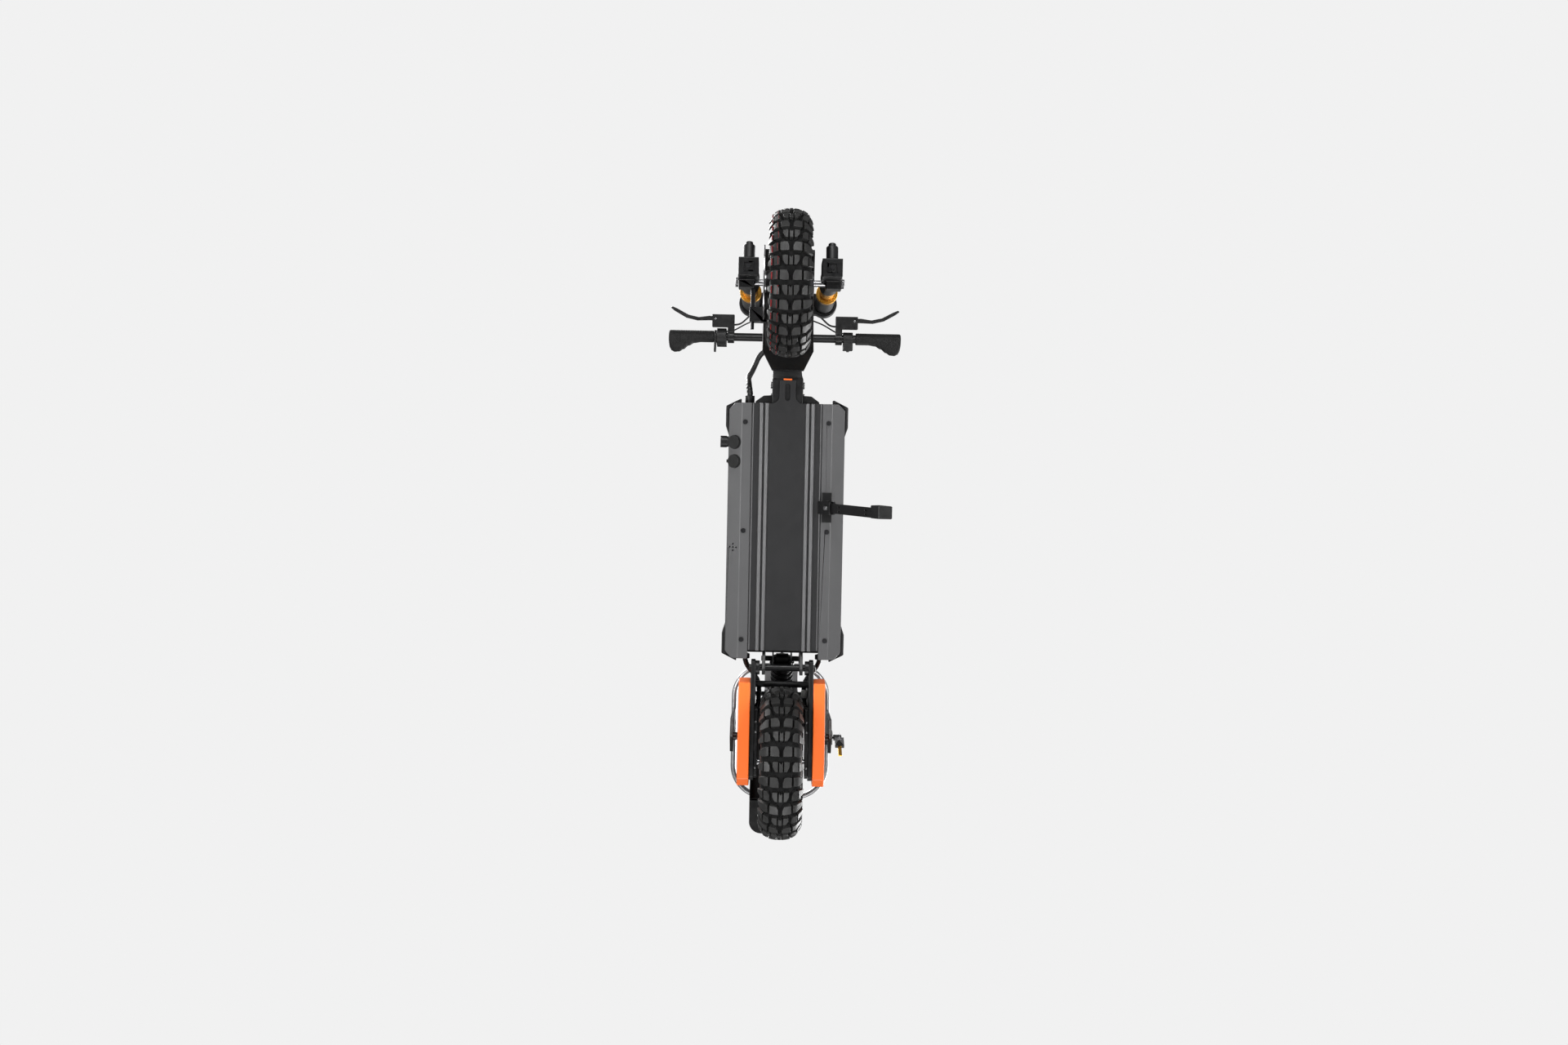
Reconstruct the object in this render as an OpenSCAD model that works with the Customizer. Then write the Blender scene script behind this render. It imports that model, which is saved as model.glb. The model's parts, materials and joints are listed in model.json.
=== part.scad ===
// Off-road electric kick scooter with an inverted telescopic fork, a sprung
// rear swingarm and a fold-down stem. X runs forward, Y to the rider's left.
// The origin lies on the ground below the middle of the whole scooter.

/* [Overall] */
// Distance between the two wheel axles
wheelbase = 890; // [860:1:930]
// Outer diameter of both tyres
tyre_d = 276; // [262:1:288]
// Widest part of both tyres
tyre_w = 84; // [76:1:86]
// Reach of the rear fender behind the rear axle
tail_overhang = 178; // [170:1:200]
// Height of the handlebar above the ground
bar_z = 1235; // [1100:5:1300]
// Width of the handlebar over both grips
bar_span = 628; // [560:2:700]

/* [Deck] */
// Distance from the front axle back to the deck
deck_setback = 223; // [215:1:240]
// Length of the deck
deck_len = 478; // [440:2:500]
// Width of the deck over its side panels
deck_w = 218; // [200:2:240]
// Height of the deck underside above the ground
deck_z = 150; // [140:1:165]
// Height of the deck body
deck_h = 74; // [66:1:84]
// Thickness of the sheet that the deck is folded from
sheet_t = 3; // [2:0.5:4]
// Width of the ribbed underside panel
under_w = 132; // [120:2:140]
// Height of one underside rib
rib_h = 4; // [2:0.5:6]
// Thickness of the grip mat
mat_t = 4; // [2:0.5:6]
// Distance of the panel screws from the deck centre line
screw_y = 78; // [76:1:80]
// Distance between neighbouring panel screws along the deck
screw_pitch = 203; // [180:1:210]
// Bore of the panel screw holes
screw_hole_d = 5.5; // [4:0.5:6]

/* [Fork] */
// Lean of the steering axis towards the rider
lean = 3; // [1:0.5:6]
// Lead of the fork legs ahead of the axle
leg_lead = 10; // [4:1:16]
// Distance between the two fork leg axes
leg_pitch = 152; // [148:1:160]
// Diameter of the upper fork tubes
upper_d = 40; // [36:1:44]
// Diameter of the sliding stanchions
stanchion_d = 28; // [24:1:30]
// Travel of the front fork
fork_travel = 30; // [20:1:40]
// Distance from axle height up to the fork crown
crown_up = 322; // [310:1:350]
// Length of the head tube
head_len = 110; // [95:1:130]
// Diameter of the steerer tube
steerer_d = 30; // [26:1:34]

/* [Stem and bar] */
// Diameter of the stem tube
stem_d = 42; // [36:1:50]
// Diameter of the handlebar tube
bar_d = 22; // [20:0.5:25]
// Distance of the handlebar ahead of the stem axis
bar_lead = 20; // [18:1:30]
// Length of one grip
grip_len = 122; // [110:1:130]
// Diameter of one grip
grip_d = 32; // [28:1:36]

/* [Wheels and brakes] */
// Diameter of the rims where the tyres seat
rim_d = 166; // [160:1:172]
// Diameter of the wheel axles
axle_d = 12; // [10:1:14]
// Diameter of the brake discs
disc_d = 140; // [130:1:142]
// Thickness of the brake discs
disc_t = 2.4; // [2:0.1:3]

/* [Rear suspension] */
// Distance from the rear axle forward to the swingarm pivot
arm_len = 173; // [170:1:190]
// Height of the swingarm pivot above the rear axle
arm_rise = 12; // [6:1:18]
// Outer diameter of the shock spring
coil_d = 44; // [38:1:46]
// Diameter of the tube that forms the rear hoop
hoop_d = 10; // [8:1:12]
// Width of the rear hoop between tube centres
hoop_w = 186; // [180:2:200]

/* [Kickstand] */
// Splay of the kickstand leg from the vertical
stand_splay = 35; // [30:1:40]
// Width of the kickstand leg
stand_w = 18; // [16:1:22]
// Thickness of the kickstand leg
stand_t = 6; // [4:0.5:8]

/* [Hidden] */

// Running clearance of pins and shafts, and gap between moving neighbours
run = 0.1;
gap = 0.3;
round_fn = 64;
soft_fn = 32;

// Stations along the scooter
tyre_r = tyre_d / 2;
total_len = wheelbase + tyre_r + tail_overhang;
x_front = total_len / 2 - tyre_r;
x_rear = x_front - wheelbase;
x_deck = x_front - deck_setback;
x_tail = x_deck - deck_len;
x_mid = (x_deck + x_tail) / 2;
deck_top = deck_z + deck_h;

// Fork frame: origin at axle height on the leg axis, third axis up the leg
x_leg = x_front + leg_lead;
leg_y = leg_pitch / 2;
crown_t = 30;
cup_t = 6;
head_low = crown_up + crown_t + cup_t;
head_high = head_low + head_len;
base_low = head_high + cup_t;
base_h = 40;
fold_up = base_low + base_h;
fold_back = 30;
fold_eye_r = 12;
stem_top = (bar_z - tyre_r) / cos(lean) - bar_d;

// Swingarm pivot, shock eyes and rear hoop
x_pivot = x_rear + arm_len;
z_pivot = tyre_r + arm_rise;
shock_front = [x_pivot + 4, z_pivot + 75];
shock_rear = [x_pivot - 78, z_pivot + 140];
shock_run = shock_rear - shock_front;
shock_len = norm(shock_run);
shock_tilt = atan2(shock_run[1], -shock_run[0]);
shock_pin_d = 10;
arm_y = tyre_w / 2 + 8;
arm_t = 8;
cover_t = 22;
hoop_z = z_pivot + 180;

// Kickstand pivot
stand_x = x_mid + 46;
stand_y = 80;
stand_z = deck_z - 16;
stand_pin_d = 8;

// Handlebar station
x_bar = x_leg - (bar_z - tyre_r) * tan(lean) + bar_lead;

// Colours
black = [0.05, 0.05, 0.05];
soft_black = [0.12, 0.12, 0.12];
graphite = [0.25, 0.25, 0.26];
panel_grey = [0.4, 0.4, 0.41];
orange = [1, 0.42, 0.12];
gold = [0.85, 0.62, 0.2];
silver = [0.75, 0.75, 0.76];
wrap_blue = [0.1, 0.25, 0.5];
lens_white = [0.9, 0.9, 0.85];
screen_blue = [0.05, 0.05, 0.08];

// ---------------------------------------------------------------- helpers

module fork_frame() {
    translate([x_leg, 0, tyre_r]) rotate([0, -lean, 0]) children();
}

module both_sides() {
    children();
    mirror([0, 1, 0]) children();
}

// Cylinder along Y, centred on Y = 0
module across(d, w, fn = round_fn) {
    rotate([90, 0, 0]) cylinder(d = d, h = w, center = true, $fn = fn);
}

// Upright plate drawn in X and Z, from one Y to another
module side_plate(y0, y1) {
    translate([0, y1, 0]) rotate([90, 0, 0]) linear_extrude(y1 - y0) children();
}

module box_between(low, high) {
    translate(low) cube(high - low);
}

module tube(d_out, d_in, h) {
    difference() {
        cylinder(d = d_out, h = h, $fn = round_fn);
        translate([0, 0, -1]) cylinder(d = d_in, h = h + 2, $fn = round_fn);
    }
}

// Catmull-Rom point between p1 and p2
function spline(p0, p1, p2, p3, t) =
    0.5 * (2 * p1 + (p2 - p0) * t + (2 * p0 - 5 * p1 + 4 * p2 - p3) * t * t
    + (3 * p1 - 3 * p2 + p3 - p0) * t * t * t);

function clamp_index(i, n) = max(0, min(n - 1, i));

function smooth_route(points, steps) = [
    for (i = [0 : len(points) - 2])
        for (k = [0 : steps - 1])
            spline(points[clamp_index(i - 1, len(points))], points[i], points[i + 1],
                points[clamp_index(i + 2, len(points))], k / steps),
    points[len(points) - 1]
];

function unit(v) = v / norm(v);

function route_dir(path, i) =
    unit(path[clamp_index(i + 1, len(path))] - path[clamp_index(i - 1, len(path))]);

// Direction square to the route, carried along it from ring to ring
function side_dirs(path, i, last) =
    let (d = route_dir(path, i), s = unit(last - (last * d) * d))
    i == len(path) - 1 ? [s] : concat([s], side_dirs(path, i + 1, s));

module cable(points, d, steps = 3, sides = 8) {
    path = smooth_route(points, steps);
    first = abs(route_dir(path, 0)[2]) > 0.9 ? [1, 0, 0] : [0, 0, 1];
    dirs = side_dirs(path, 0, first);
    rings = [for (i = [0 : len(path) - 1])
        for (k = [0 : sides - 1])
            let (s = dirs[i], t = cross(route_dir(path, i), s), a = 360 * k / sides)
            path[i] + d / 2 * (cos(a) * s + sin(a) * t)];
    walls = [for (i = [0 : len(path) - 2])
        for (k = [0 : sides - 1])
            let (a = i * sides + k, b = i * sides + (k + 1) % sides)
            [a, a + sides, b + sides, b]];
    ends = [[for (k = [0 : sides - 1]) k],
        [for (k = [sides - 1 : -1 : 0]) (len(path) - 1) * sides + k]];
    polyhedron(points = rings, faces = concat(walls, ends), convexity = 8);
}

// ------------------------------------------------------------------- deck

side_foot = 18;
side_rise = 16;

// Section of one side panel in Y and Z: flat foot, sloped skirt, upright wall
module side_section() {
    y0 = under_w / 2 + gap;
    y1 = y0 + side_foot;
    y2 = deck_w / 2;
    z1 = deck_z + side_rise;
    t = sheet_t;
    polygon([
        [y0, deck_z], [y1, deck_z], [y2, z1], [y2, deck_top - t],
        [y2 - t, deck_top - t], [y2 - t, z1 + t], [y1 - t, deck_z + t], [y0, deck_z + t]
    ]);
}

module screw_places() {
    for (i = [-1 : 1]) translate([x_mid + i * screw_pitch, 0, 0]) children();
}

module side_panel_blank() {
    difference() {
        translate([x_tail, 0, 0]) rotate([90, 0, 90]) linear_extrude(deck_len) side_section();
        screw_places() translate([0, screw_y, deck_z - 1])
            cylinder(d = screw_hole_d, h = sheet_t + 2, $fn = soft_fn);
        corner_cut(x_deck, 1);
        corner_cut(x_tail, -1);
    }
}

corner_c = 12;

// Bevel taken off the outer corners of the side panels, seen from below
module corner_cut(x, way) {
    translate([x, deck_w / 2, deck_z - 1]) linear_extrude(deck_h + 2)
        polygon([[2 * way, 2], [-way * (corner_c + 2), 2], [2 * way, -corner_c - 2]]);
}

port_d = 20;
port_flange = 26;
port_x = [x_deck - 74, x_deck - 110];
skirt_in = under_w / 2 + gap + side_foot;
skirt_tilt = atan2(side_rise, deck_w / 2 - skirt_in);
knob_d = 20;
knob_z = deck_z + side_rise + 20;

// Frame on the right skirt: local -Z points out of it
module port_frame(x) {
    translate([x, -(skirt_in + deck_w / 2) / 2, deck_z + side_rise / 2])
        rotate([-skirt_tilt, 0, 0]) children();
}

module side_panel_left() {
    color(panel_grey) side_panel_blank();
}

vent_d = 2.4;
vent_step = 6;
vent_x = x_mid - 32;

module side_panel_right() {
    color(panel_grey) difference() {
        mirror([0, 1, 0]) side_panel_blank();
        for (x = port_x) port_frame(x)
            cylinder(d = port_d, h = 4 * sheet_t, center = true, $fn = round_fn);
        translate([port_x[0], -deck_w / 2, knob_z]) across(8, 20);
        for (p = [[0, 0], [1, 0], [-1, 0], [0, 1], [0, -1]])
            translate([vent_x + p[0] * vent_step, -deck_w / 2 + 12 + p[1] * vent_step, deck_z - 1])
                cylinder(d = vent_d, h = side_rise + 4, $fn = 16);
    }
}

rib_y = [38, 48];
tongue_w = 30;
tongue_len = 44;
tongue_fillet = 14;
slot_w = 10;
slot_len = 22;
panel_short = 16;

// Ribbed panel with the slotted tongue that reaches under the neck
module underside_panel() {
    color(graphite) difference() {
        union() {
            box_between([x_tail + panel_short, -under_w / 2, deck_z],
                [x_deck, under_w / 2, deck_z + sheet_t]);
            both_sides() for (y = rib_y)
                translate([x_tail + panel_short, y, deck_z]) rotate([0, 90, 0])
                    cylinder(d = 2 * rib_h, h = deck_len - panel_short, $fn = soft_fn);
            translate([x_deck, 0, deck_z]) linear_extrude(sheet_t) difference() {
                translate([-1, -tongue_w / 2 - tongue_fillet])
                    square([tongue_len, tongue_w + 2 * tongue_fillet]);
                both_sides() translate([tongue_fillet, tongue_w / 2 + tongue_fillet])
                    circle(r = tongue_fillet, $fn = round_fn);
                both_sides() translate([tongue_fillet, tongue_w / 2])
                    square([tongue_len, 2 * tongue_fillet]);
            }
        }
        translate([x_deck + 10, 0, deck_z - 1]) linear_extrude(sheet_t + 2) {
            circle(d = slot_w, $fn = soft_fn);
            translate([0, -slot_w / 2]) square([slot_len, slot_w]);
            translate([slot_len, 0]) circle(d = slot_w, $fn = soft_fn);
        }
        box_between([x_tail, -under_w / 2, deck_z + sheet_t],
            [x_deck + 1, under_w / 2, deck_z + sheet_t + rib_h + 1]);
    }
}

module deck_plate() {
    color(black) linear_extrude_at(deck_top - sheet_t, sheet_t) deck_outline(deck_w / 2);
}

module linear_extrude_at(z, h) {
    translate([0, 0, z]) linear_extrude(h) children();
}

module deck_outline(half) {
    polygon([
        [x_tail, -half + corner_c], [x_tail + corner_c, -half],
        [x_deck - corner_c, -half], [x_deck, -half + corner_c],
        [x_deck, half - corner_c], [x_deck - corner_c, half],
        [x_tail + corner_c, half], [x_tail, half - corner_c]
    ]);
}

mat_inset = 9;
mat_groove = 3;
mat_step = 14;

module grip_mat() {
    color(soft_black) difference() {
        linear_extrude_at(deck_top, mat_t) intersection() {
            deck_outline(deck_w / 2 - mat_inset);
            translate([x_tail + mat_inset, -deck_w])
                square([deck_len - 2 * mat_inset, 2 * deck_w]);
        }
        for (i = [-6 : 6]) translate([x_mid, i * mat_step, deck_top + mat_t])
            cube([deck_len - 80, mat_groove, mat_groove], center = true);
    }
}

bulk_t = 5;

module bulkhead(x) {
    box_between([x, -under_w / 2 - 16, deck_z + sheet_t + rib_h],
        [x + bulk_t, under_w / 2 + 16, deck_top - sheet_t]);
    box_between([x, -under_w / 2 + 4, deck_z + sheet_t],
        [x + bulk_t, under_w / 2 - 4, deck_z + sheet_t + rib_h + 1]);
}

module end_bulkheads() {
    color(black) {
        difference() {
            bulkhead(x_deck - bulk_t);
            translate([x_deck, -harness_y, harness_z]) rotate([0, 90, 0])
                cylinder(d = gland_d, h = 4 * bulk_t, center = true, $fn = round_fn);
        }
        bulkhead(x_tail + panel_short);
    }
}

neck_w = 58;

// Side outline of the gooseneck, in X and Z
module neck_outline() {
    h0 = head_point(-6, head_low + 2);
    h1 = head_point(-6, head_high - 2);
    polygon([
        [x_deck, deck_z + sheet_t], [x_deck + 46, deck_z + sheet_t],
        [x_deck + 52, deck_z + 60], [x_deck + 58, deck_z + 116],
        [x_deck + 74, deck_z + 190], [x_deck + 90, deck_z + 260], [x_deck + 97, crown_z - 20],
        [x_deck + 102, crown_z + 8], [x_deck + 118, crown_z + 16],
        h0, h1, [h1[0] - 34, h1[1] - 8], [x_deck + 118, h1[1] - 22], [x_deck + 84, h1[1] - 54],
        [x_deck + 56, deck_z + 320], [x_deck + 28, deck_z + 200],
        [x_deck + 8, deck_z + 110], [x_deck, deck_top - sheet_t]
    ]);
}

function head_point(u, w) = [
    x_leg + u * cos(lean) - w * sin(lean), tyre_r + u * sin(lean) + w * cos(lean)];

head_d = steerer_d + 18;
crown_z = tyre_r + crown_up + crown_t;

module neck_frame() {
    color(black) difference() {
        union() {
            side_plate(-neck_w / 2, neck_w / 2) neck_outline();
            fork_frame() translate([0, 0, head_low]) cylinder(d = head_d, h = head_len, $fn = round_fn);
        }
        fork_frame() translate([0, 0, head_low - 1])
            cylinder(d = steerer_d + 8, h = head_len + 2, $fn = round_fn);
        both_sides() neck_bolt_places() cylinder(d = neck_bolt_d, h = 40, center = true, $fn = soft_fn);
        translate([neck_gland[0], -neck_w / 2, neck_gland[1]])
            across(gland_d, 30);
    }
}

neck_bolt_d = 8;
neck_bolt_x = [12, 34];

module neck_bolt_places() {
    for (x = neck_bolt_x) translate([x_deck + x, neck_w / 2 - 8, deck_z + 24])
        rotate([-90, 0, 0]) children();
}

battery_x = [x_mid - 190, x_mid + 120];
battery_half = 60;
battery_head = 8;

module battery_pack() {
    color(wrap_blue) box_between([battery_x[0], -battery_half, deck_z + sheet_t + gap],
        [battery_x[1], battery_half, deck_top - sheet_t - battery_head]);
}

drive_x = [x_mid + 130, x_mid + 205];
drive_half = 52;
drive_h = 44;
buzzer_h = 10;

// Drive electronics, with the buzzer on the foot of the right side panel
module motor_controller() {
    color(silver) box_between([drive_x[0], -drive_half, deck_z + sheet_t + gap],
        [drive_x[1], drive_half, deck_z + drive_h]);
    color(black) translate([vent_x, -under_w / 2 - gap - side_foot / 2, deck_z + sheet_t])
        cylinder(d = side_foot - 8, h = buzzer_h, $fn = round_fn);
}

bumper_t = 6;
bumper_len = 62;

// Corner guards that stand proud of the side panels
module bumper_blank(x_end, way) {
    linear_extrude_at(deck_z + side_rise + 4, deck_h - side_rise - 10) polygon([
        [x_end + way * 8, deck_w / 2 - 22],
        [x_end - way * 6, deck_w / 2 + bumper_t],
        [x_end - way * (bumper_len - 18), deck_w / 2 + bumper_t],
        [x_end - way * bumper_len, deck_w / 2], [x_end - way * corner_c, deck_w / 2],
        [x_end, deck_w / 2 - corner_c], [x_end, deck_w / 2 - 22]
    ]);
}

module corner_bumpers() {
    color(black) both_sides() {
        bumper_blank(x_deck, 1);
        bumper_blank(x_tail, -1);
    }
}

flange_t = 2.5;
socket_bore = 13;

module charge_sockets() {
    color(soft_black) for (x = port_x) port_frame(x) {
        translate([0, 0, -flange_t]) tube(port_flange, socket_bore, flange_t);
        tube(port_d - 2 * run, socket_bore, 18);
    }
}

cap_t = 3;

// Rubber lid over one socket, hinged along the rear edge of its flange
module charge_cap(x) {
    color(black) port_frame(x) {
        translate([0, 0, -flange_t - gap - cap_t]) cylinder(d = port_flange - 1, h = cap_t, $fn = round_fn);
        translate([-3, -port_flange / 2 - 2, -flange_t - gap - cap_t]) cube([6, 6, cap_t]);
    }
}

module charge_cap_front() {
    charge_cap(port_x[0]);
}

module charge_cap_rear() {
    charge_cap(port_x[1]);
}

module power_knob() {
    color(black) translate([port_x[0], -deck_w / 2, knob_z]) rotate([90, 0, 0]) {
        translate([0, 0, gap]) cylinder(d = knob_d, h = 15, $fn = round_fn);
        translate([0, 0, 10]) cube([knob_d + 2, 6, 12], center = true);
        translate([0, 0, -8]) cylinder(d = 8 - 2 * run, h = 9, $fn = soft_fn);
    }
}

// Screws of the side panels and bolts of the neck
module frame_fasteners() {
    color(silver) both_sides() screw_places() translate([0, screw_y, deck_z]) {
        translate([0, 0, -2]) cylinder(d = 9, h = 2, $fn = soft_fn);
        cylinder(d = screw_hole_d - 1, h = 12, $fn = soft_fn);
    }
    color(silver) both_sides() neck_bolt_places() {
        cylinder(d = neck_bolt_d, h = 8, $fn = soft_fn);
        translate([0, 0, 8]) cylinder(d = 13, h = 3, $fn = 6);
    }
}

// -------------------------------------------------------------- kickstand

module stand_frame() {
    translate([stand_x, stand_y, stand_z]) rotate([stand_splay, 0, 0]) children();
}

stand_len = stand_z / cos(stand_splay);

module kickstand_bracket() {
    color(black) difference() {
        union() {
            box_between([stand_x - 28, stand_y - 12, deck_z - 4], [stand_x + 28, stand_y + 6, deck_z]);
            intersection() {
                stand_frame() both_ears();
                translate([stand_x - 40, stand_y - 60, stand_z - 40]) cube([80, 120, deck_z - stand_z + 40]);
            }
        }
        stand_frame() across(stand_pin_d, 60);
    }
    color(silver) stand_frame() {
        across(stand_pin_d, stand_t + 2 * stand_ear_t + 6, soft_fn);
    }
}

stand_ear_t = 4;

module both_ears() {
    both_sides() translate([-12, stand_t / 2 + gap, -11]) cube([24, stand_ear_t, 44]);
}

module kickstand_leg() {
    color(black) stand_frame() difference() {
        union() {
            across(stand_w + 2, stand_t);
            translate([-stand_w / 2, -stand_t / 2, -stand_len + 28]) cube([stand_w, stand_t, stand_len - 28]);
        }
        across(stand_pin_d + 2 * run, stand_t + 2);
        for (z = [-34, -112]) for (x = [-4, 4]) translate([x, 0, z]) across(5, stand_t + 2, soft_fn);
    }
}

module kickstand_foot() {
    color(soft_black) difference() {
        stand_frame() difference() {
            translate([-stand_w / 2, -10, -stand_len - 14]) cube([stand_w / 2 + 14, 20, 44]);
            translate([-stand_w / 2, -stand_t / 2, -stand_len + 28]) cube([stand_w, stand_t, 60]);
        }
        translate([stand_x - 50, 0, -60]) cube([100, 400, 60]);
    }
}

// ---------------------------------------------------------------- harness

harness_d = 12;
harness_y = 71;
harness_z = deck_z + 46;
gland_d = 18;
gland_len = 14;
neck_gland = [x_deck + 116, crown_z + 46];

module harness_glands() {
    color(black) {
        translate([x_deck - bulk_t, -harness_y, harness_z]) rotate([0, 90, 0])
            tube(gland_d - 2 * run, harness_d + 2, bulk_t + gland_len);
        translate([neck_gland[0], -neck_w / 2 - 8, neck_gland[1]]) rotate([-90, 0, 0])
            tube(gland_d - 2 * run, harness_d + 1.4, 20);
    }
}

// Round points of the wrapped harness, from the deck up to the neck
harness_route = [
    [x_deck - 4, -harness_y, harness_z], [x_deck + 8, -harness_y, harness_z],
    [x_deck + 18, -harness_y, harness_z], [x_deck + 36, -74, harness_z + 16],
    [x_deck + 48, -76, harness_z + 54],
    [x_deck + 56, -75, harness_z + 110], [x_deck + 68, -71, harness_z + 170],
    [x_deck + 84, -66, harness_z + 230], [x_deck + 102, -60, harness_z + 288],
    [neck_gland[0], -50, neck_gland[1]], [neck_gland[0], -38, neck_gland[1]],
    [neck_gland[0], -neck_w / 2 + 6, neck_gland[1]]
];

module wire_harness() {
    color(soft_black) cable(harness_route, harness_d - 0.2, 4, 10);
}

// ------------------------------------------------------------ rear support

rail_y = 35;
rail_t = 6;
pivot_d = 12;

// Plates behind the deck that carry the swingarm pivot and the front shock eye
module rear_subframe() {
    color(black) difference() {
        both_sides() side_plate(rail_y - rail_t / 2, rail_y + rail_t / 2) polygon([
            [x_tail + panel_short, deck_z + 10], [x_pivot, z_pivot - 14], [x_pivot - 12, z_pivot - 8],
            [x_pivot - 12, z_pivot + 10], [shock_front[0] - 12, shock_front[1] - 6],
            [shock_front[0] - 8, shock_front[1] + 12], [shock_front[0] + 4, shock_front[1] + 12],
            [x_tail - gap, deck_top - sheet_t - 1], [x_tail + panel_short, deck_top - sheet_t - 1]
        ]);
        translate([x_pivot, 0, z_pivot]) across(pivot_d, 100);
        translate([shock_front[0], 0, shock_front[1]]) across(shock_pin_d, 100);
    }
    color(silver) {
        translate([x_pivot, 0, z_pivot]) across(pivot_d, 2 * (arm_y + arm_t) + 8);
        translate([shock_front[0], 0, shock_front[1]]) across(shock_pin_d, 2 * rail_y + rail_t + 4);
    }
}

// --------------------------------------------------------- steering parts

module headset_cups() {
    color(silver) fork_frame() for (w = [head_low - cup_t + gap / 3, head_high])
        translate([0, 0, w]) tube(head_d + 2, steerer_d + 2 * run, cup_t - gap / 3);
}

hose_d = 5;
port_u = -12;
port_v = 50;
port_sleeve = 22;

module fork_crown() {
    color(black) fork_frame() {
        difference() {
            translate([0, 0, crown_up]) linear_extrude(crown_t) union() {
                both_sides() translate([0, leg_y]) circle(d = upper_d + 14, $fn = round_fn);
                translate([-22, -leg_y]) square([44, leg_pitch]);
            }
            both_sides() translate([0, leg_y, crown_up - 1])
                cylinder(d = upper_d, h = crown_t + 2, $fn = round_fn);
            translate([port_u, -port_v, crown_up - 1]) cylinder(d = hose_d + 1.4, h = crown_t, $fn = soft_fn);
        }
        translate([port_u, -port_v, crown_up - port_sleeve])
            tube(hose_d + 4, hose_d + 1.4, port_sleeve);
        translate([0, 0, crown_up + crown_t])
            cylinder(d = steerer_d, h = base_low - crown_up - crown_t, $fn = round_fn);
    }
}

collar_up = 178;
collar_h = 14;
upper_top = crown_up + crown_t + 8;

module fork_upper_tubes() {
    color(black) fork_frame() both_sides() translate([0, leg_y, 0]) {
        translate([0, 0, collar_up + collar_h])
            tube(upper_d, stanchion_d + 2 * run, upper_top - collar_up - collar_h);
        translate([0, 0, upper_top]) cylinder(d = upper_d - 6, h = 6, $fn = round_fn);
    }
}

module gold_collars() {
    color(gold) fork_frame() both_sides() translate([0, leg_y, collar_up])
        tube(upper_d + 3, stanchion_d + 2 * run, collar_h);
}

fender_gap = 40;
fender_t = 3;
fender_w = 100;
fender_arc = [62, 152];

module arc_band(r, t, w, a0, a1) {
    rotate([90, 0, 0]) translate([0, 0, -w / 2])
        rotate([0, 0, a0]) rotate_extrude(angle = a1 - a0, $fn = 128)
            translate([r, 0]) square([t, w]);
}

module front_fender() {
    r = tyre_r + fender_gap;
    color(black) {
        difference() {
            translate([x_front, 0, tyre_r]) {
                arc_band(r, fender_t, fender_w, fender_arc[0], fender_arc[1]);
                both_sides() translate([0, fender_w / 2 - fender_t / 2, 0])
                    arc_band(r - 12, 13, fender_t, fender_arc[0], fender_arc[1]);
            }
            both_sides() translate([x_front - r * cos(28) - 30, fender_w / 2 + 1, tyre_r])
                linear_extrude(r) polygon([[0, 0], [70, 0], [0, -34]]);
        }
        fork_frame() box_between([-14, -18, r + fender_t - 2], [14, 18, crown_up]);
    }
}

lamp_d = 46;

module head_lamp() {
    color(soft_black) fork_frame() translate([0, 0, crown_up + crown_t / 2]) rotate([0, 90, 0]) {
        translate([0, 0, 34]) cylinder(d = lamp_d, h = 26, $fn = round_fn);
        translate([0, 0, 22]) cylinder(d = 18, h = 12, $fn = soft_fn);
    }
    color(lens_white) fork_frame() translate([60, 0, crown_up + crown_t / 2])
        rotate([0, 90, 0]) cylinder(d = lamp_d - 6, h = 2, $fn = round_fn);
}

ear_in = 16;
ear_out = 24;
fold_pin_d = 8;

module fold_eye(y0, y1, toward) {
    translate([-fold_back, 0, fold_up]) rotate([90, 0, 0]) translate([0, 0, -y1])
        cylinder(r = fold_eye_r, h = y1 - y0, $fn = round_fn);
    box_between([-fold_back, y0, min(fold_up, fold_up + toward)],
        [-12, y1, max(fold_up, fold_up + toward)]);
}

latch_u = 34;
latch_w = fold_up - 16;
latch_pin_d = 6;
latch_eye = 14;
latch_half = 15;

module fold_base() {
    color(black) fork_frame() difference() {
        union() {
            box_between([-14, -ear_out - 4, base_low], [26, ear_out + 4, fold_up]);
            both_sides() fold_eye(ear_in, ear_out, -fold_eye_r);
            both_sides() box_between([24, latch_half + gap, latch_w - 7],
                [latch_u + 7, latch_half + 6, latch_w + 7]);
        }
        translate([-fold_back, 0, fold_up]) across(fold_pin_d, 100);
        translate([latch_u, 0, latch_w]) across(latch_pin_d, 100);
    }
    color(silver) fork_frame() {
        translate([-fold_back, 0, fold_up]) across(fold_pin_d, 2 * ear_out + 6);
        translate([latch_u, 0, latch_w]) across(latch_pin_d, 2 * latch_half + 14);
    }
}

// ------------------------------------------------------------ fork lowers

foot_block = [34, 37, 62];
lug_block = [24, 29, 44];
sleeve_top = 96;
foot_cap_tilt = 75;

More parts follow.
